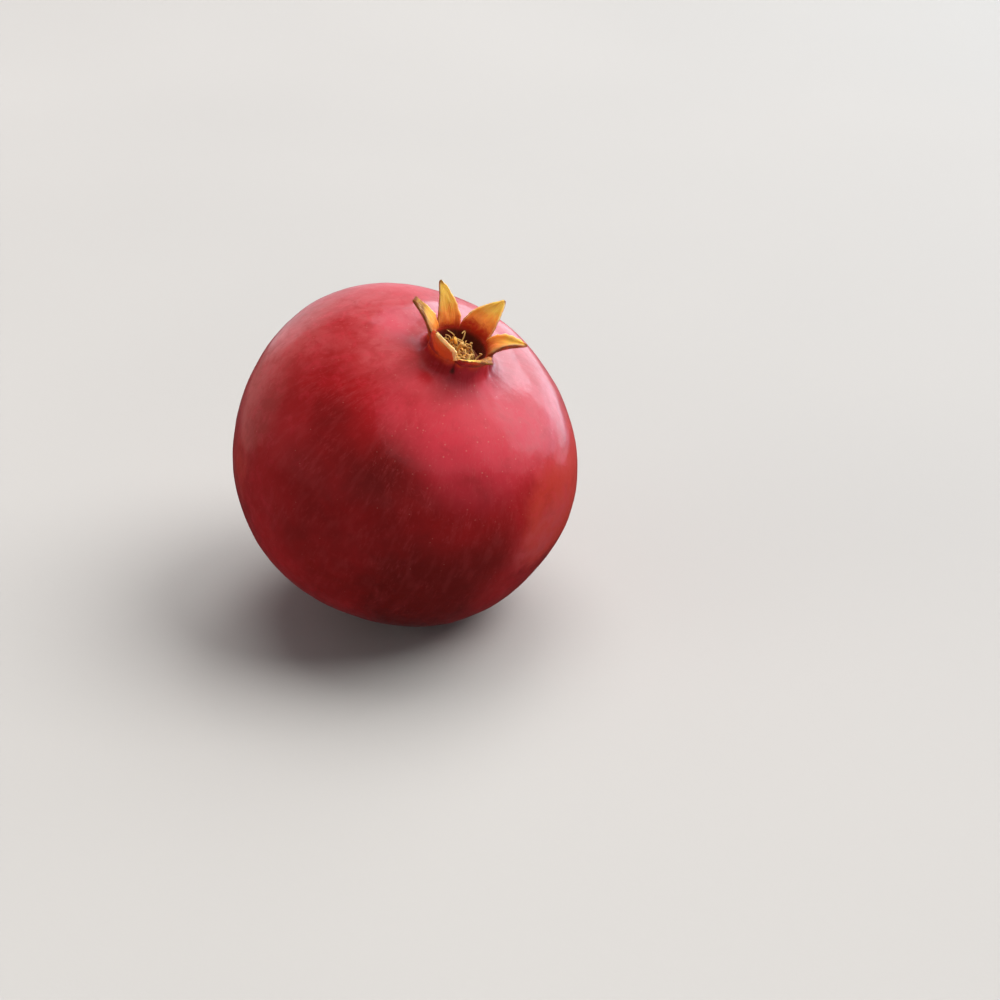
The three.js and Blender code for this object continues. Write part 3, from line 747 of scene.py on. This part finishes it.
def filament_path(index, random):
    """A dried filament from the disc up to its anther, with two bends, a slight wave and a curled end."""
    share = (index + 0.5) / STAMENS
    azimuth = index * pi * (3 - sqrt(5)) + random.uniform(-0.3, 0.3)
    root_radius = DISC_RADIUS * lerp(INNERMOST, 1, sqrt(share))
    height = random.uniform(*STAMEN_HEIGHT) * lerp(*STAMEN_RISE, share)
    reach = root_radius + random.uniform(*STAMEN_REACH)
    twist = azimuth + random.uniform(-0.8, 0.8)
    root = direction(pi / 2, azimuth) * root_radius
    root[2] = disc_top(root_radius) - ROOT_SUNK
    tip = direction(pi / 2, twist) * reach + STAMENS_LEAN
    tip = tip * min(1, (cup_wall_radius(height) - WALL_GAP[0]) / np.linalg.norm(tip))
    tip[2] = height
    knee, elbow = (
        lerp(root, tip, random.uniform(*bend)) + random.normal(0, STAMEN_CROOK, 3) * [1, 1, 0.5]
        for bend in STAMEN_BENDS
    )
    t = linspace(0, 1, FILAMENT_STEPS + 1)[:, None]
    wave = sin(t * random.uniform(6, 14) + random.uniform(0, 6))
    path = cubic(root, knee, elbow, tip, t) + FILAMENT_WAVE * wave * random.normal(0, 1, 3)
    turn = maximum(0, t - 1 + CURL_SHARE) / CURL_SHARE * random.uniform(*CURL_TURN) * pi
    across, along = unit(random.normal(0, 1, (2, 3)) + [0, 0, 0.4])
    path = path + random.uniform(*CURL_RADIUS) * ((cos(turn) - 1) * across + sin(turn) * along)

    # It stays inside the cup's wall and above the disc.
    out = np.linalg.norm(path[:, :2], axis=1)
    most = cup_wall_radius(path[:, 2]) - WALL_GAP[1]
    path[:, :2] *= minimum(1, most / maximum(out, 1e-6))[:, None]
    path[:, 2] = maximum(path[:, 2], disc_top(minimum(out, most)) - ROOT_SUNK)
    return path


def add_stamen(sheet, index, random):
    path = filament_path(index, random)
    tint = random.uniform(0, 1)
    taper = linspace(*FILAMENT_TAPER, FILAMENT_STEPS + 1)
    radii = FILAMENT_RADIUS * taper * random.uniform(*FILAMENT_GIRTH)
    add_tube(sheet, path, radii, FILAMENT_SIDES, tint=tint, anther=0.0)
    if random.uniform() < ANTHER_SHARE:
        spin = Matrix.Rotation(random.uniform(0, 6.28), 3, "Z")
        spin = spin @ Matrix.Rotation(random.uniform(0, 1.9), 3, "X")
        scale = random.uniform(*ANTHER_SCALE)
        add_anther(sheet, path[-1], array(spin), scale, random, tint=tint, anther=1.0)


def add_disc(sheet):
    """The disc, from the middle of its top round the rim to the middle of its underside."""
    top = linspace(0, DISC_RADIUS + DISC_FLARE, DISC_ROWS + 1)[1:]
    under = linspace(DISC_RADIUS, 0, DISC_UNDER_ROWS)[:-1]
    top_height = disc_top(top) + FLARE_SLOPE * maximum(0, top - DISC_RADIUS)
    radius = concatenate([top, under])[:, None]
    height = concatenate([top_height, disc_top(under) - DISC_THICK])[:, None]
    points = direction(pi / 2, ring_angles(DISC_COLUMNS)) * radius[..., None]
    points[..., 2] = height + DISC_CRUMPLE * clouds(points * [1, 1, 0], 0.9, 3)
    looks = dict(share=0.0, tint=0.5, anther=0.0)
    rows = sheet.add(points, **looks)
    sheet.join(rows, closed=True, flip=True)
    for row, level in ((0, DISC_DISH[0]), (-1, DISC_DISH[0] - DISC_THICK)):
        sheet.cap(rows[row], array([[0, 0, level]]), flip=row == -1, **looks)


def add_style(sheet):
    """The dried remains of the style, with a knob near its end."""
    t = linspace(0, 1, STYLE_STEPS + 1)
    foot = array([0, 0, DISC_DISH[0] - STYLE_SUNK])
    path = foot + t[:, None] * STYLE_TOP + sin(t * 3)[:, None] * STYLE_BOW
    girth = STYLE_RADIUS * (lerp(1.3, 0.8, t) + 0.9 * bell(t - 0.96, 0.06))
    add_tube(sheet, path, girth, STYLE_SIDES, tint=0.4, anther=0.0)


def build_stamens(material):
    random = np.random.default_rng(STAMEN_SEED)
    sheet = Sheet(crown_to_row)
    add_disc(sheet)
    add_style(sheet)
    for index in range(STAMENS):
        add_stamen(sheet, index, random)
    return sheet.make("dried_stamens", [material])


# ---- Stem ----

STEM_LENGTH = 3.4  # beyond the skin
STEM_CHAMFER = 0.5
COLLAR_RADIUS = 3.3  # of the swollen ring at the fruit
COLLAR_HEIGHT = 1.2
COLLAR_DROP = 0.2  # towards the cut face
STEM_COLUMNS = 120
STEM_ROWS = 46
CUT_ROWS = 12
BARK_RIDGES = 0.16
CUT_ROUGH = 0.1
CUT_BULGE = 0.15


def build_stem(material):
    """The woody stub, from the middle of its cut face up into the socket."""
    end = skin_point(array(pi), array(0.0))[2] - STEM_LENGTH
    reach = linspace(0, STEM_LENGTH + SOCKET_DEPTH, STEM_ROWS)
    girth = STEM_RADIUS - STEM_CHAMFER * (1 - smooth(0, STEM_CHAMFER * 2, reach))
    collar = bell(reach - STEM_LENGTH + COLLAR_HEIGHT / 2 + COLLAR_DROP, COLLAR_HEIGHT / 2)
    girth = girth + (COLLAR_RADIUS - STEM_RADIUS) * collar
    cut = linspace(0, girth[0], CUT_ROWS)[1:-1]
    radius = concatenate([cut, girth])[:, None]
    height = concatenate([zeros_like(cut), reach])[:, None]
    side = concatenate([zeros_like(cut), np.ones_like(girth)])[:, None]

    azimuth = ring_angles(STEM_COLUMNS)
    level = direction(pi / 2, azimuth) * radius[..., None]
    ridges = clouds(wrapped(azimuth, 5, height * 0.4), 1, 3)
    points = level * (1 + side * BARK_RIDGES * ridges / STEM_RADIUS)[..., None]
    rings = CUT_ROUGH * clouds(level, 0.5, 3, seed=2) - CUT_BULGE * (1 - (radius / girth[0]) ** 2)
    points[..., 2] = end + height + (1 - side) * rings

    sheet = Sheet(fruit_to_row)
    rows = sheet.add(points, side=side, height=height, level=level)
    sheet.join(rows, closed=True)
    for row, at in ((0, end - CUT_BULGE), (-1, end + reach[-1])):
        looks = dict(side=0.0, height=0.0, level=zeros((1, 3)))
        sheet.cap(rows[row], array([[0, 0, at]]), flip=row == 0, **looks)
    return sheet.make("woody_stem", [material], sharp=True)


# ---- Materials ----


class Finish:
    """The nodes of a material or the world. Most ways to add one give back an output to link on."""

    def __init__(self, name, kind="materials", shader="Principled BSDF"):
        self.owner = getattr(bpy.data, kind).new(name)
        self.owner.use_nodes = True
        self.tree = self.owner.node_tree
        self.shader = self.tree.nodes[shader]

    def fill(self, node, links):
        """Links inputs of a node, or sets them."""
        for name, value in links:
            socket = node.inputs[name]
            if isinstance(value, bpy.types.NodeSocket):
                self.tree.links.new(value, socket)
            else:
                socket.default_value = (*value, 1) if socket.type == "RGBA" else value
        return node

    def finish(self, **inputs):
        """Fills the shader's inputs, each named with _ for a space."""
        self.fill(self.shader, [(name.replace("_", " "), value) for name, value in inputs.items()])
        return self.owner

    def node(self, kind, links=(), **settings):
        node = self.tree.nodes.new(kind)
        for key, value in settings.items():
            setattr(node, key, value)
        return self.fill(node, links)

    def value(self, name):
        return self.node("ShaderNodeAttribute", attribute_name=name).outputs["Fac"]

    def vector(self, name):
        return self.node("ShaderNodeAttribute", attribute_name=name).outputs["Vector"]

    def place(self, kind="Object"):
        """The point's own place, in metres."""
        return self.node("ShaderNodeTexCoord").outputs[kind]

    def height(self, kind="Object"):
        return self.node("ShaderNodeSeparateXYZ", [(0, self.place(kind))]).outputs["Z"]

    def math(self, operation, a, b=0.0):
        return self.node("ShaderNodeMath", [(0, a), (1, b)], operation=operation).outputs[0]

    def times(self, a, b):
        return self.math("MULTIPLY", a, b)

    def plus(self, a, b):
        return self.math("ADD", a, b)

    def ramp(self, x, low, high, start=0.0, end=1.0):
        """start where x is below low, end where it is above high, and smooth between."""
        links = [("Value", x), ("From Min", low), ("From Max", high), ("To Min", start), ("To Max", end)]
        return self.node("ShaderNodeMapRange", links, interpolation_type="SMOOTHSTEP").outputs[0]

    def noise(self, at, scale, detail=3.0, rough=0.55, twist=0.0):
        """Soft noise about 0.5, with scale lumps to a unit of length."""
        links = [("Vector", at), ("Scale", scale), ("Detail", detail)]
        links += [("Roughness", rough), ("Distortion", twist)]
        return self.node("ShaderNodeTexNoise", links).outputs["Fac"]

    def swing(self, noise, width):
        """The noise moved to lie about 0, and as wide as given."""
        return self.times(self.math("SUBTRACT", noise, 0.5), width)

    def spots(self, at, scale, size, kept):
        """Small round spots at scattered points, of which a share is kept."""
        cells = self.node("ShaderNodeTexVoronoi", [("Vector", at), ("Scale", scale)])
        pick = self.node("ShaderNodeSeparateColor", [(0, cells.outputs["Color"])]).outputs[0]
        round_spot = self.ramp(cells.outputs["Distance"], size * 0.5, size, 1, 0)
        return self.times(round_spot, self.ramp(pick, 1 - kept, 1.001 - kept))

    def mix(self, share, a, b):
        links = [(0, share), (6, a), (7, b)]
        return self.node("ShaderNodeMix", links, data_type="RGBA").outputs[2]

    def bump(self, height, depth, under=None):
        """Bump of the given depth in millimetres where height goes from 0 to 1."""
        links = [("Height", height), ("Distance", depth * MM), ("Strength", 1.0)]
        if under:
            links.append(("Normal", under))
        return self.node("ShaderNodeBump", links).outputs["Normal"]

    def coats(self, colour, *coats):
        """The colour with coats over it, each one's share followed by its colour."""
        for share, over in zip(coats[::2], coats[1::2]):
            colour = self.mix(share, colour, over)
        return colour


SKIN_RED = (0.335, 0.006, 0.0083)
SKIN_MAROON = (0.235, 0.004, 0.004)
# Painted shade for the dark patches.
PAINTED_SHADE_RED = (0.145, 0.0035, 0.0025)
# SKIN_PINK, SKIN_ROSE and SKIN_ORANGE also paint sheen, highlights and bounce light in the patches.
SKIN_PINK = (0.48, 0.06, 0.067)
SKIN_ROSE = (0.52, 0.023, 0.04)
SKIN_ORANGE = (0.45, 0.030, 0.018)
LENTICEL = (0.533, 0.23, 0.18)
LENTICELS = 5.2  # to a centimetre, before most are left out
RUSSET = (0.2, 0.1, 0.047)
SCAR = (0.055, 0.010, 0.006)

SEPAL_ROOT_RED = (0.62, 0.038, 0.012)
SEPAL_ORANGE = (0.97, 0.32, 0.050)
SEPAL_YELLOW = (1.0, 0.62, 0.095)
SEPAL_OUTER = (0.74, 0.078, 0.015)
SEPAL_BROWN = (0.24, 0.080, 0.022)
SEPAL_RIM = (0.90, 0.62, 0.26)
# Painted shade down in the cup.
CUP_PAINTED_SHADE = (0.10, 0.012, 0.009)

PLANT_IOR = 1.45
COAT_IOR = 1.8
COAT_ROUGHNESS = 0.11
COAT_WEIGHT = (0.3, 0.12)  # on the skin and at the top of the neck
SEPAL_DEPTH = 1.2  # how far light goes into a sepal


def skin_colour(m, form, streak):
    """The leathery red of the skin: patches, partly painted light and shade, streaks, pale flecks and
    lenticels.
    """
    wander = m.noise(form, 0.9, 5, 0.62, 0.4)
    mottle = m.noise(form, 2.3, 5, 0.62, 0.6)
    colour = m.mix(m.ramp(m.noise(form, 0.5, 4, 0.55, 0.6), 0.4, 0.66, 0, 0.6), SKIN_RED, SKIN_MAROON)

    def patch(name, swing=0.8, low=0.1, high=0.95):
        return m.ramp(m.plus(m.value(name), m.swing(wander, swing)), low, high)

    # The patches, with wandering edges. The dark ones are painted shade, and the pale, rosy and orange ones
    # are partly painted sheen, highlights and bounce light.
    pale = m.times(patch("pale", 1.1), m.ramp(mottle, 0.36, 0.62, 0.25, 0.75))
    colour = m.coats(colour, patch("orange", 1.1, 0.2, 0.8), SKIN_ORANGE, patch("rosy"), SKIN_ROSE)
    colour = m.coats(colour, patch("dark", 0.6), PAINTED_SHADE_RED, pale, SKIN_PINK)

    # Soft mottling all over, and a rosy bloom outside the patches of painted shade.
    bloom = m.ramp(m.noise(form, 3.6, 4, 0.6, 0.8), 0.5, 0.66, 0, 0.28)
    bloom = m.times(bloom, m.ramp(m.value("dark"), 0.5, 0.1))
    colour = m.coats(colour, m.ramp(mottle, 0.5, 0.72, 0, 0.22), SKIN_MAROON, bloom, SKIN_ROSE)

    # Fine streaks, flecks, dots and lenticels, most of them where it is rosy.
    streaks = m.ramp(m.noise(streak, 5.0, 3, 0.5, 0.2), 0.45, 0.7, 0, 0.10)
    here = m.ramp(m.noise(form, 1.6, 3), 0.42, 0.62)
    grain = m.times(m.ramp(m.noise(streak, 15.0, 3, 0.6), 0.5, 0.72), here)
    grain = m.times(grain, m.plus(m.times(m.value("rosy"), 0.25), 0.18))
    share = m.plus(m.plus(m.times(m.value("pale"), 0.4), m.times(m.value("rosy"), 0.2)), 0.08)
    flecks = m.times(m.ramp(m.noise(form, 7.5, 3, 0.6, 1.2), 0.56, 0.72), share)
    dots = m.times(m.spots(form, 7.0, 0.2, 0.5), m.ramp(m.noise(form, 2.2, 3), 0.42, 0.56))
    dots = m.times(dots, m.times(m.value("rosy"), 0.4))
    lenticels = m.times(m.spots(form, LENTICELS, 0.1, 0.3), 0.25)
    colour = m.coats(colour, streaks, SKIN_PINK, grain, SKIN_PINK, flecks, SKIN_PINK)
    return m.coats(colour, dots, LENTICEL, lenticels, LENTICEL)


def sepal_colour(m, form, skin, blotches, fibres):
    """Red-brown at the root, orange in the middle and yellow above, with veins and brown tips."""
    along = m.value("along")
    inside = m.value("inside")
    dull = m.value("dull")
    level = m.plus(along, m.plus(m.swing(blotches, 0.5), m.times(m.value("tint"), 0.4)))
    inner = m.mix(m.ramp(level, 0.38, 0.74), SEPAL_ROOT_RED, SEPAL_ORANGE)
    inner = m.mix(m.ramp(level, 0.66, 1.15), inner, SEPAL_YELLOW)
    outer = m.mix(m.ramp(level, 0.0, 0.35), skin, SEPAL_OUTER)
    outer = m.mix(m.ramp(level, 0.55, 1.2, 0, 0.9), outer, SEPAL_ORANGE)
    colour = m.mix(inside, outer, inner)
    dull_parts = m.times(dull, m.ramp(blotches, 0.25, 0.6, 0.5, 1))
    veins = m.ramp(fibres, 0.54, 0.74, 0, 0.25)
    for share in dull_parts, veins, m.ramp(blotches, 0.62, 0.76, 0, 0.38):
        colour = m.mix(share, colour, SEPAL_BROWN)

    # The worn rim, the tip and the rolled rim.
    worn = m.times(m.ramp(along, 0.0, 0.2), m.ramp(m.noise(form, 9, 3, 0.6), 0.4, 0.6, 0.3, 0.9))
    rim_colour = m.mix(inside, SEPAL_BROWN, m.mix(dull, SEPAL_RIM, SEPAL_BROWN))
    worn = m.times(m.ramp(m.value("edge"), 0.90, 0.98), worn)
    tip = m.times(m.ramp(along, 0.88, 0.99), m.ramp(blotches, 0.3, 0.5))
    rolled = m.times(m.value("rolled"), m.ramp(fibres, 0.3, 0.6, 1, 0.6))
    return m.coats(colour, worn, rim_colour, tip, SEPAL_BROWN, rolled, SEPAL_RIM)


def rind_material(name, dry=False):
    """The skin's finish, or with dry the crown's, which is dry and slightly translucent."""
    m = Finish(name)
    form = m.vector("form")
    streak = m.vector("streak")
    along = m.value("along")
    inside = m.value("inside")
    blotches = m.noise(form, 4.5, 4, 0.6, 0.8)
    fibres = m.noise(streak, 16, 3, 0.6, 0.1)

    # The stem end is russeted, and a few dry spots are scattered over the skin.
    skin = skin_colour(m, form, streak)
    russet = m.times(m.ramp(along, -8.2, -8.75), m.ramp(m.noise(form, 6, 4, 0.6), 0.3, 0.6))
    skin = m.mix(m.times(russet, 0.85), skin, RUSSET)
    scar = m.plus(m.value("scar"), m.swing(m.noise(form, 14, 3), 0.8))
    skin = m.mix(m.ramp(scar, 0.45, 0.75, 0, 0.9), skin, SCAR)

    # The crown sets in at the mouth. Painted shade darkens the cup downwards and lines the bottoms of the
    # folds.
    sepal = sepal_colour(m, form, skin, blotches, fibres)
    colour = m.mix(m.math("MAXIMUM", m.ramp(along, -0.2, 0.05), inside), skin, sepal)
    colour = m.mix(m.times(inside, m.ramp(along, 0.14, -0.18)), colour, CUP_PAINTED_SHADE)
    colour = m.mix(m.ramp(m.value("crease"), 0.2, 1.0, 0, 0.9), colour, SCAR)

    normal = m.bump(m.noise(form, 26, 3, 0.6), 0.01)
    normal = m.bump(m.noise(form, 8, 3, 0.5), 0.02, normal)
    normal = m.bump(m.spots(form, LENTICELS, 0.12, 0.35), 0.01, normal)
    if dry:
        rough = m.ramp(fibres, 0.3, 0.7, 0.5, 0.72)
        normal = m.bump(fibres, 0.12, normal)
        feel = dict(Specular_IOR_Level=0.3, Subsurface_Weight=0.45, Subsurface_Scale=SEPAL_DEPTH * MM)
        feel.update(Subsurface_Radius=(1.0, 0.35, 0.08))
    else:
        normal = m.bump(m.noise(streak, 12, 3, 0.6), 0.024, normal)
        rough = m.ramp(m.noise(form, 3, 4, 0.6), 0.3, 0.7, 0.36, 0.46)
        feel = dict(Specular_IOR_Level=0.1, Coat_Roughness=COAT_ROUGHNESS, Coat_IOR=COAT_IOR)
        feel.update(Coat_Weight=m.ramp(along, -0.7, -0.1, *COAT_WEIGHT), Coat_Normal=normal)
    return m.finish(Base_Color=colour, Roughness=rough, Normal=normal, IOR=PLANT_IOR, **feel)


FILAMENT_YELLOW = (0.80, 0.52, 0.17)
FILAMENT_ROOT = (0.24, 0.06, 0.028)
ANTHER_OCHRE = (0.92, 0.45, 0.06)
ANTHER_BROWN = (0.24, 0.095, 0.025)


def stamens_material():
    m = Finish("dried_stamens")
    at = m.place()
    tint = m.value("tint")
    blotches = m.noise(at, 900, 3, 0.6)
    root = m.ramp(m.plus(m.value("share"), m.times(tint, 0.2)), 0.1, 0.6)
    filament = m.mix(root, FILAMENT_ROOT, FILAMENT_YELLOW)
    anther = m.mix(m.ramp(m.plus(blotches, m.times(tint, 0.35)), 0.5, 0.85), ANTHER_OCHRE, ANTHER_BROWN)
    colour = m.mix(m.value("anther"), filament, anther)
    colour = m.mix(m.ramp(m.noise(at, 2500, 3, 0.6), 0.55, 0.75, 0, 0.5), colour, ANTHER_BROWN)
    rough = m.ramp(blotches, 0.3, 0.7, 0.55, 0.8)
    normal = m.bump(m.noise(at, 4000, 3, 0.6), 0.06)
    return m.finish(Base_Color=colour, Roughness=rough, Normal=normal, IOR=PLANT_IOR)


BARK_GREY = (0.30, 0.22, 0.14)
BARK_BROWN = (0.13, 0.075, 0.04)
CUT_WOOD = (0.52, 0.38, 0.21)
CUT_RING = (0.26, 0.16, 0.08)


def stem_material():
    m = Finish("woody_stem")
    level = m.vector("level")
    side = m.value("side")
    at = m.place()
    lengthwise = m.node("ShaderNodeMapping", [("Vector", level), ("Scale", (1.6, 1.6, 0.3))]).outputs[0]
    fibres = m.noise(lengthwise, 3.0, 4, 0.6, 0.3)
    bark = m.mix(m.ramp(fibres, 0.35, 0.65), BARK_BROWN, BARK_GREY)
    bark = m.mix(m.ramp(m.noise(at, 1200, 3), 0.6, 0.7, 0, 0.6), bark, CUT_RING)
    radius = m.node("ShaderNodeVectorMath", [(0, level)], operation="LENGTH").outputs["Value"]
    wobble = m.times(m.noise(at, 500, 3), 1.2)
    rings = m.math("SINE", m.times(m.plus(radius, wobble), 13.0))
    wood = m.mix(m.ramp(rings, -0.4, 0.9, 0, 0.6), CUT_WOOD, CUT_RING)
    wood = m.mix(m.ramp(radius, 0.5, 0.25), wood, CUT_RING)
    wood = m.mix(m.ramp(m.noise(at, 2600, 3), 0.5, 0.7, 0, 0.5), wood, BARK_BROWN)
    colour = m.mix(side, wood, bark)
    rough = m.ramp(fibres, 0.3, 0.7, 0.75, 0.92)
    normal = m.bump(m.noise(at, 3000, 3, 0.6), 0.1, m.bump(m.times(fibres, side), 0.25))
    return m.finish(Base_Color=colour, Roughness=rough, Normal=normal, IOR=PLANT_IOR)


FLOOR_GREYS = ((0.43, 0.425, 0.415), (0.46, 0.455, 0.445))
BACKDROP_GREYS = ((0.80, 0.79, 0.77), (0.56, 0.56, 0.56))  # at the floor and high up
BACKDROP_FADE = 6  # metres above the floor


def floor_material():
    m = Finish("floor")
    at = m.place()
    soft = m.noise(at, 3, 2)
    colour = m.mix(m.ramp(soft, 0.3, 0.7), *FLOOR_GREYS)
    rough = m.ramp(soft, 0.3, 0.7, 0.8, 0.9)
    normal = m.bump(m.noise(at, 900, 2), 0.02)
    return m.finish(Base_Color=colour, Roughness=rough, Normal=normal, IOR=1.3)


def backdrop_material():
    m = Finish("backdrop")
    colour = m.mix(m.ramp(m.height(), 0, BACKDROP_FADE), *BACKDROP_GREYS)
    looks = dict(Base_Color=(0, 0, 0), Specular_IOR_Level=0, Emission_Strength=1)
    return m.finish(Emission_Color=colour, **looks)


# ---- The pieces ----

rind = build_rind(rind_material("skin"), rind_material("dry_crown", dry=True))
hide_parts("rind")

stamens = build_stamens(stamens_material())
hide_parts("stamens")

stem = build_stem(stem_material())
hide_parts("stem_stub")

for piece in (rind, stamens, stem):
    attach(piece, "root")

# ---- Floor, light and camera: in metres ----

FLOOR_SIZE = 30
BACKDROP_RADIUS = 14
BACKDROP_REACH = (-0.1, 12)
BACKDROP_SIDES = 64

GLOW_STEPS = (0.6, 0.85, 1.1, 1.35)  # sizes of a glow's ovals
SOFT_SPREAD = 40

# The room's light below its horizon and above it, and between which heights it changes.
ROOM_LIGHT = (0.04, 0.17)
ROOM_HORIZON = (-0.12, 0.02)
ROOM_TINT = (0.97, 0.98, 1)

WARM_WHITE = (1.0, 0.97, 0.94)
LAMP_WARM = (1.0, 0.66, 0.56)
LAVENDER = (0.82, 0.74, 1.0)
DAYLIGHT = (0.95, 0.91, 1.0)
WINDOW_BLUE = (0.74, 0.89, 1)

CAMERA_DISTANCE = 0.55
CAMERA_HEIGHT_ANGLE = 30
CAMERA_NEAR = 0.01
SENSOR = 36
FOCAL_PIXELS = 2038
PICTURE = 1000
FRUIT_AT = (401.5, 457.0)  # where the fruit's middle falls in the picture, in pixels
FRUIT_MIDDLE = Vector((MIDDLE * MM).tolist())


def add_plain(name, points, faces, material, unseen_by):
    mesh = bpy.data.meshes.new(name)
    mesh.from_pydata(points, [], faces)
    mesh.materials.append(material)
    thing = add_object(name, mesh)
    for kind in unseen_by:
        setattr(thing, "visible_" + kind, False)
    return thing


def make_floor():
    half = FLOOR_SIZE / 2
    corners = [(-half, -half, 0), (half, -half, 0), (half, half, 0), (-half, half, 0)]
    floor = add_plain("floor", corners, [(0, 1, 2, 3)], floor_material(), ["glossy"])


def make_backdrop():
    """A pale wall far round the floor, which only the camera sees."""
    circle = (direction(pi / 2, ring_angles(BACKDROP_SIDES)) * BACKDROP_RADIUS).tolist()
    points = [(x, y, z) for z in BACKDROP_REACH for x, y, _ in circle]
    pairs = [(k, (k + 1) % BACKDROP_SIDES) for k in range(BACKDROP_SIDES)]
    faces = [(a, b, b + BACKDROP_SIDES, a + BACKDROP_SIDES) for a, b in pairs]
    others = ["diffuse", "glossy", "transmission", "volume_scatter", "shadow"]
    backdrop = add_plain("backdrop", points, faces, backdrop_material(), others)
    backdrop.data.shade_smooth()


def from_compass(bearing, rise):
    """A direction by its bearing, clockwise from straight behind the fruit, and its rise."""
    return Vector(direction(radians(90 - rise), radians(90 - bearing)).tolist())


def place_lamp(light, towards, colour):
    """Sets a lamp a metre from the fruit and turned to it."""
    light.color = colour
    lamp = add_object(light.name, light)
    way = from_compass(*towards)
    lamp.location = FRUIT_MIDDLE + way
    lamp.rotation_euler = way.to_track_quat("Z", "Y").to_euler()
    lamp.visible_camera = False
    return lamp


def soft_light(name, towards, strength):
    """Soft even light from one side, which the gloss doesn't show."""
    light = bpy.data.lights.new(name, "SUN")
    light.angle = radians(SOFT_SPREAD)
    light.energy = strength
    place_lamp(light, towards, WARM_WHITE).visible_glossy = False


def shine(name, towards, size, radiance, colour, shape="RECTANGLE", filled=1.0):
    """A bright panel that only the gloss shows. It fills the given share of its size."""
    light = bpy.data.lights.new(name, "AREA")
    light.shape = shape
    light.size, light.size_y = size
    light.energy = radiance * pi * filled * size[0] * size[1]
    place_lamp(light, towards, colour).visible_diffuse = False


def glow(name, towards, size, radiance, colour):
    """A glow that fades outwards, which only the gloss shows: ovals, one inside the other."""
    for number, share in enumerate(GLOW_STEPS):
        oval = size[0] * share, size[1] * share
        part = radiance / len(GLOW_STEPS)
        shine(f"{name}_{number}", towards, oval, part, colour, "ELLIPSE", pi / 4)


def make_world():
    """A pale room above the floor's horizon, and dark below it, where only the gloss looks."""
    m = Finish("room", "worlds", "Background")
    strength = m.ramp(m.height("Generated"), *ROOM_HORIZON, *ROOM_LIGHT)
    bpy.context.scene.world = m.finish(Color=ROOM_TINT, Strength=strength)


def make_camera():
    """A camera that looks down on the fruit, turned so that it falls at its place in the picture."""
    rise = radians(CAMERA_HEIGHT_ANGLE)
    ahead = Vector((0, cos(rise), -sin(rise)))
    facing = Matrix(((1, 0, 0), (0, sin(rise), cos(rise)), -ahead)).transposed()
    pan, tilt = (atan((at - PICTURE / 2) / FOCAL_PIXELS) for at in FRUIT_AT)
    facing = facing @ Matrix.Rotation(pan, 3, "Y") @ Matrix.Rotation(tilt, 3, "X")
    camera = add_object("camera", bpy.data.cameras.new("camera"))
    camera.data.sensor_width = SENSOR
    camera.data.lens = FOCAL_PIXELS * SENSOR / PICTURE
    camera.data.clip_start = CAMERA_NEAR
    camera.location = FRUIT_MIDDLE - ahead * CAMERA_DISTANCE
    camera.rotation_euler = facing.to_euler()
    bpy.context.scene.camera = camera


make_floor()
make_backdrop()
make_world()

# Each light's bearing and rise, then its size where it has one, and its strength.
soft_light("key_light", (86, 52), 2.7)
soft_light("window_light", (35, 45), 1.1)
soft_light("top_light", (0, 70), 1.6)
soft_light("left_fill", (258, 8), 0.85)
soft_light("right_fill", (115, 2), 0.25)
shine("window_shine", (36, 30), (0.70, 0.42), 8.4, WINDOW_BLUE)
shine("sill_shine", (37, 4), (0.80, 0.52), 3.5, WINDOW_BLUE)
glow("high_glow", (14, 48), (0.36, 0.2), 7.5, LAVENDER)
glow("back_glow", (-8, 11), (0.75, 0.75), 3.8, DAYLIGHT)
glow("left_glow", (-46, 10), (0.94, 0.8), 1.9, LAMP_WARM)
glow("side_glow", (85, 28), (0.8, 0.72), 2.9, DAYLIGHT)
glow("corner_glow", (68, 19), (0.5, 0.6), 6.8, LAVENDER)
glow("low_glow", (52, -4), (0.5, 0.32), 6.2, LAVENDER)
glow("top_glow", (30, 73), (0.5, 0.5), 1.4, DAYLIGHT)
glow("room_glow", (125, 55), (1.2, 1.0), 1.7, DAYLIGHT)
make_camera()
bpy.context.scene.view_settings.view_transform = "Standard"
